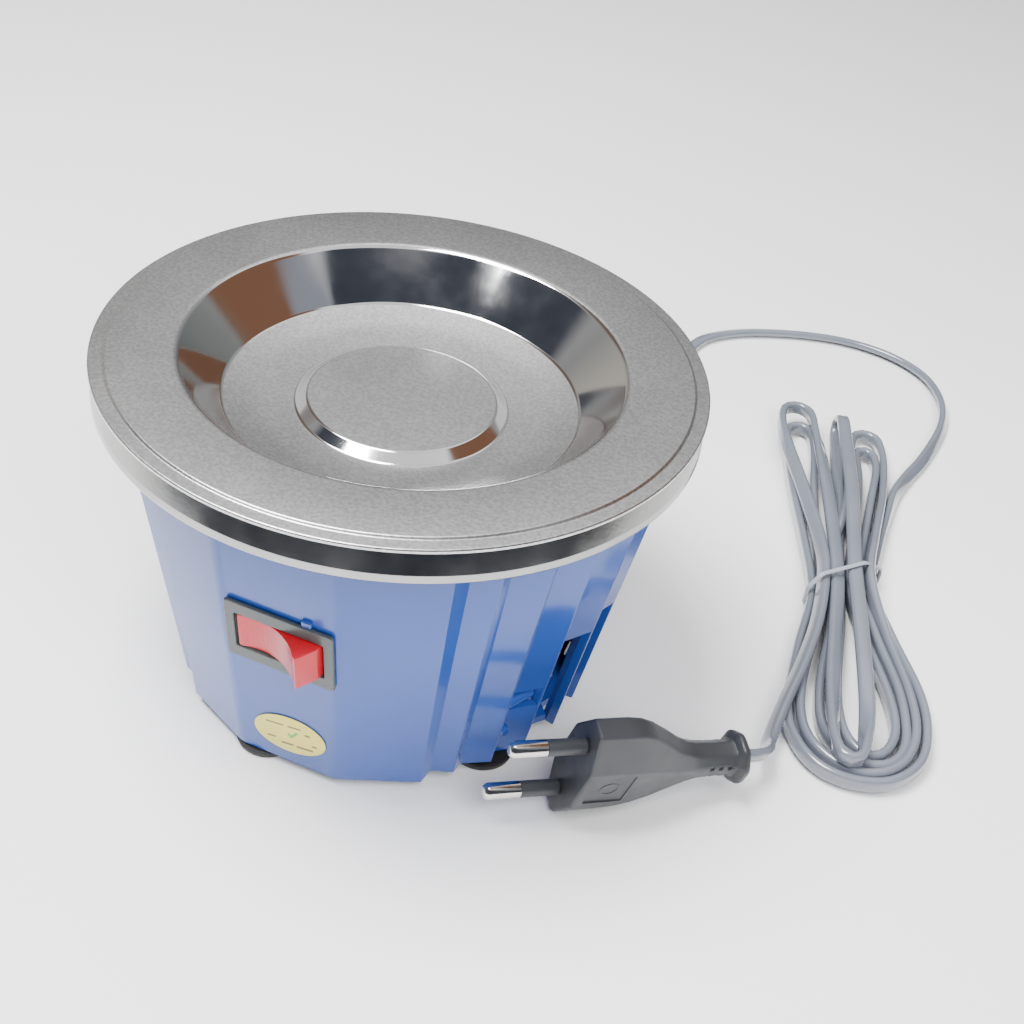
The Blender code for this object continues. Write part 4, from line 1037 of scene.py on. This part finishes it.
def plug(black, metal):
    """The plug along its own axis, from the cord's flange to the face with its two sleeved pins."""
    seat = plug_frame()
    length = (Vector(PLUG_FACE) - Vector(PLUG_FLANGE)).length

    def octagon(half_x, half_y, flat, end, height, radius):
        corners = [(-half_x, -end), (-flat, -half_y), (flat, -half_y), (half_x, -end),
                   (half_x, end), (flat, half_y), (-flat, half_y), (-half_x, end)]
        return [(x, y, height) for x, y in rounded([(x, y, radius) for x, y in corners], 5)]

    def round_loop(radius, height):
        return octagon(radius, radius, radius * 0.414, radius * 0.414, height, radius * 0.5)

    neck = [(5.4, 0.0), (6.0, 0.3), (6.2, 0.9), (6.2, 1.6), (5.7, 2.2), (4.6, 2.8), (4.2, 4.0), (4.1, 8.0),
            (4.3, 12.5)]
    loops = [round_loop(radius, height) for radius, height in neck]
    loops += [octagon(5.2, 4.6, 2.4, 2.0, 15.5, 1.6), octagon(7.6, 5.3, 3.6, 2.2, 19.5, 1.8),
              octagon(11.2, 6.0, 5.4, 2.3, 24.0, 1.8), octagon(14.8, 6.6, 6.8, 2.4, 29.0, 1.6),
              octagon(16.4, 6.9, 7.4, 2.5, 32.5, 1.4), octagon(16.8, 7.0, 7.6, 2.6, 36.0, 1.2),
              octagon(16.8, 7.0, 7.6, 2.6, length - 0.7, 1.2),
              octagon(16.5, 6.75, 7.5, 2.5, length - 0.2, 1.1),
              octagon(16.0, 6.3, 7.3, 2.3, length, 1.0)]
    body = piece("plug_shell", *moved(skin(loops), seat), [black], crease=30)
    cutters = []
    for side in (1.0, -1.0):
        panel = moved(box((11.0, 1.0, 10.0)), Matrix.Translation((0.4, side * 7.1, length - 7.4)))
        cutters.append(moved(panel, seat))
        for low in (4.6, 7.0, 9.4):
            for across in (-1.0, 1.0):
                cutters.append(moved(box((1.9, 2.0, 1.1), (across * 1.9, side * 4.6, low)), seat))
    carve(body, [joined(cutters)])
    body.data.set_sharp_from_angle(angle=radians(30))
    soften(body, 0.2)
    rings = []
    for side in (1.0, -1.0):
        ring = turned([(2.0, -0.2), (2.5, -0.2), (2.5, 0.25), (2.0, 0.25)], 32)
        place = frame_along((0.4, side * 6.45, length - 7.4), (0.0, side, 0.0), (1.0, 0.0, 0.0))
        rings.append(moved(ring, seat @ place))
    marks = piece("plug_marks", *joined(rings), [black])
    made = [body, marks]
    sleeve_end = length + 10.0
    start = length + GAP
    tip = length + PIN_LENGTH
    for name, sign in (("lower", -1.0), ("upper", 1.0)):
        place = seat @ Matrix.Translation((sign * PIN_SPACING / 2, 0.0, 0.0))
        corners = [(0.0, start, 0.0), (1.2, start, 0.0), (1.2, sleeve_end + 0.1, 0.0),
                   (2.0, sleeve_end + 0.1, 0.1), (2.0, tip - 1.0, 0.8), (1.2, tip, 0.6), (0.0, tip, 0.0)]
        pin = piece(f"pin_{name}", *moved(turned(rounded(corners, 4, closed=False), 32), place), [metal])
        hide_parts(f"plug_pin_{name}")
        corners = [(1.3, start, 0.1), (1.95, start, 0.2), (1.95, sleeve_end, 0.2), (1.3, sleeve_end, 0.1)]
        sleeve = piece(f"pin_sleeve_{name}", *moved(turned(rounded(corners, 3), 32), place), [black])
        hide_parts(f"plug_sleeve_{name}")
        made += [pin, sleeve]
    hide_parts("plug_body")
    for part in made:
        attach(part, "base")
    return made


# ---------------------------------------------------------------- everything else

def assign(surface, *nodes):
    """Give CAD nodes that no piece replaces their material."""
    for node in nodes:
        slots = frame["nodes"][node].data.materials
        slots.clear()
        slots.append(surface)


def build():
    camera()
    floor()
    lights()
    satin = satin_steel()
    bright = bright_steel()
    blue = gloss_plastic("blue_shell", (0.021, 0.075, 0.345), (0.019, 0.068, 0.315), 0.2,
                         Coat_Weight=0.3, Coat_Roughness=0.08, Coat_IOR=1.6)
    rubber = grained_plastic("foot_rubber", (0.012, 0.012, 0.012), (0.02, 0.02, 0.02), 0.6)
    black = grained_plastic("moulded_black", (0.035, 0.038, 0.042), (0.03, 0.032, 0.036), 0.42)
    bezel = gloss_plastic("bezel_black", (0.07, 0.08, 0.08), (0.06, 0.07, 0.07), 0.3)
    red = gloss_plastic("rocker_red", (0.60, 0.012, 0.025), (0.5, 0.01, 0.02), 0.2, Subsurface_Weight=0.15)
    red.node_tree.nodes["Principled BSDF"].inputs["Subsurface Radius"].default_value = (0.004, 0.001, 0.001)
    zinc = plain_metal("zinc_plated", (0.62, 0.61, 0.58), 0.32)
    nickel = plain_metal("nickel_pins", (0.78, 0.75, 0.68), 0.16)
    casting = plain_metal("cast_alloy", (0.5, 0.5, 0.52), 0.5)
    iron = plain_metal("laminated_core", (0.16, 0.16, 0.17), 0.55, 0.4, (0.05, 0.05, 1.0))
    copper = plain_metal("enamelled_wire", (0.62, 0.27, 0.14), 0.35, 0.5, (0.05, 0.05, 1.0))
    brass = plain_metal("turned_brass", (0.72, 0.55, 0.27), 0.3)
    nylon = grained_plastic("pulley_nylon", (0.72, 0.71, 0.66), (0.66, 0.65, 0.6), 0.5)
    vinyl = gloss_plastic("lead_vinyl", (0.155, 0.17, 0.205), (0.125, 0.14, 0.175), 0.2, 0.02,
                          Coat_Weight=1.0, Coat_Roughness=0.06)
    paper = gloss_plastic("label_paper", (0.78, 0.68, 0.14), (0.74, 0.64, 0.12), 0.4)
    ink = grained_plastic("label_ink", (0.22, 0.15, 0.06), (0.26, 0.18, 0.08), 0.6)
    green = grained_plastic("label_green", (0.12, 0.42, 0.10), (0.14, 0.46, 0.12), 0.6)
    tie_plastic = gloss_plastic("tie_plastic", (0.30, 0.33, 0.37), (0.27, 0.30, 0.34), 0.3)

    assign(blue, "base_cover", "housing")
    assign(zinc, "spindle", "motor_plate", "motor_can", "motor_shaft", "switch_pin", "switch_terminal_left",
           "switch_terminal_right", "bearing_outer_upper", "bearing_outer_lower", "bearing_inner_upper",
           "bearing_inner_lower", *[f"hub_nut_{number}" for number in range(1, 4)],
           *[f"post_{number}" for number in range(1, 5)],
           *[f"foot_screw_{number}" for number in range(1, FOOT_COUNT + 1)])
    assign(casting, "hub", "bearing_housing", "motor_front_cap", "motor_rear_cap")
    assign(iron, "motor_stator", "motor_rotor")
    assign(copper, "motor_winding_lower", "motor_winding_upper")
    assign(brass, "small_pulley")
    assign(nylon, "large_pulley")
    assign(rubber, "drive_belt")
    assign(vinyl, "wire_live", "wire_neutral", "wire_switched")

    plug_pieces = plug(black, nickel)
    lead(vinyl, tie_plastic, rubber)
    wheel_head(satin, bright)
    wheel_skirt(skirt_steel_painted_dark())
    housing(blue)
    latch_pegs(blue)
    screws(zinc)
    feet(rubber)
    switch(bezel, red)
    label(paper, ink, green)


build()
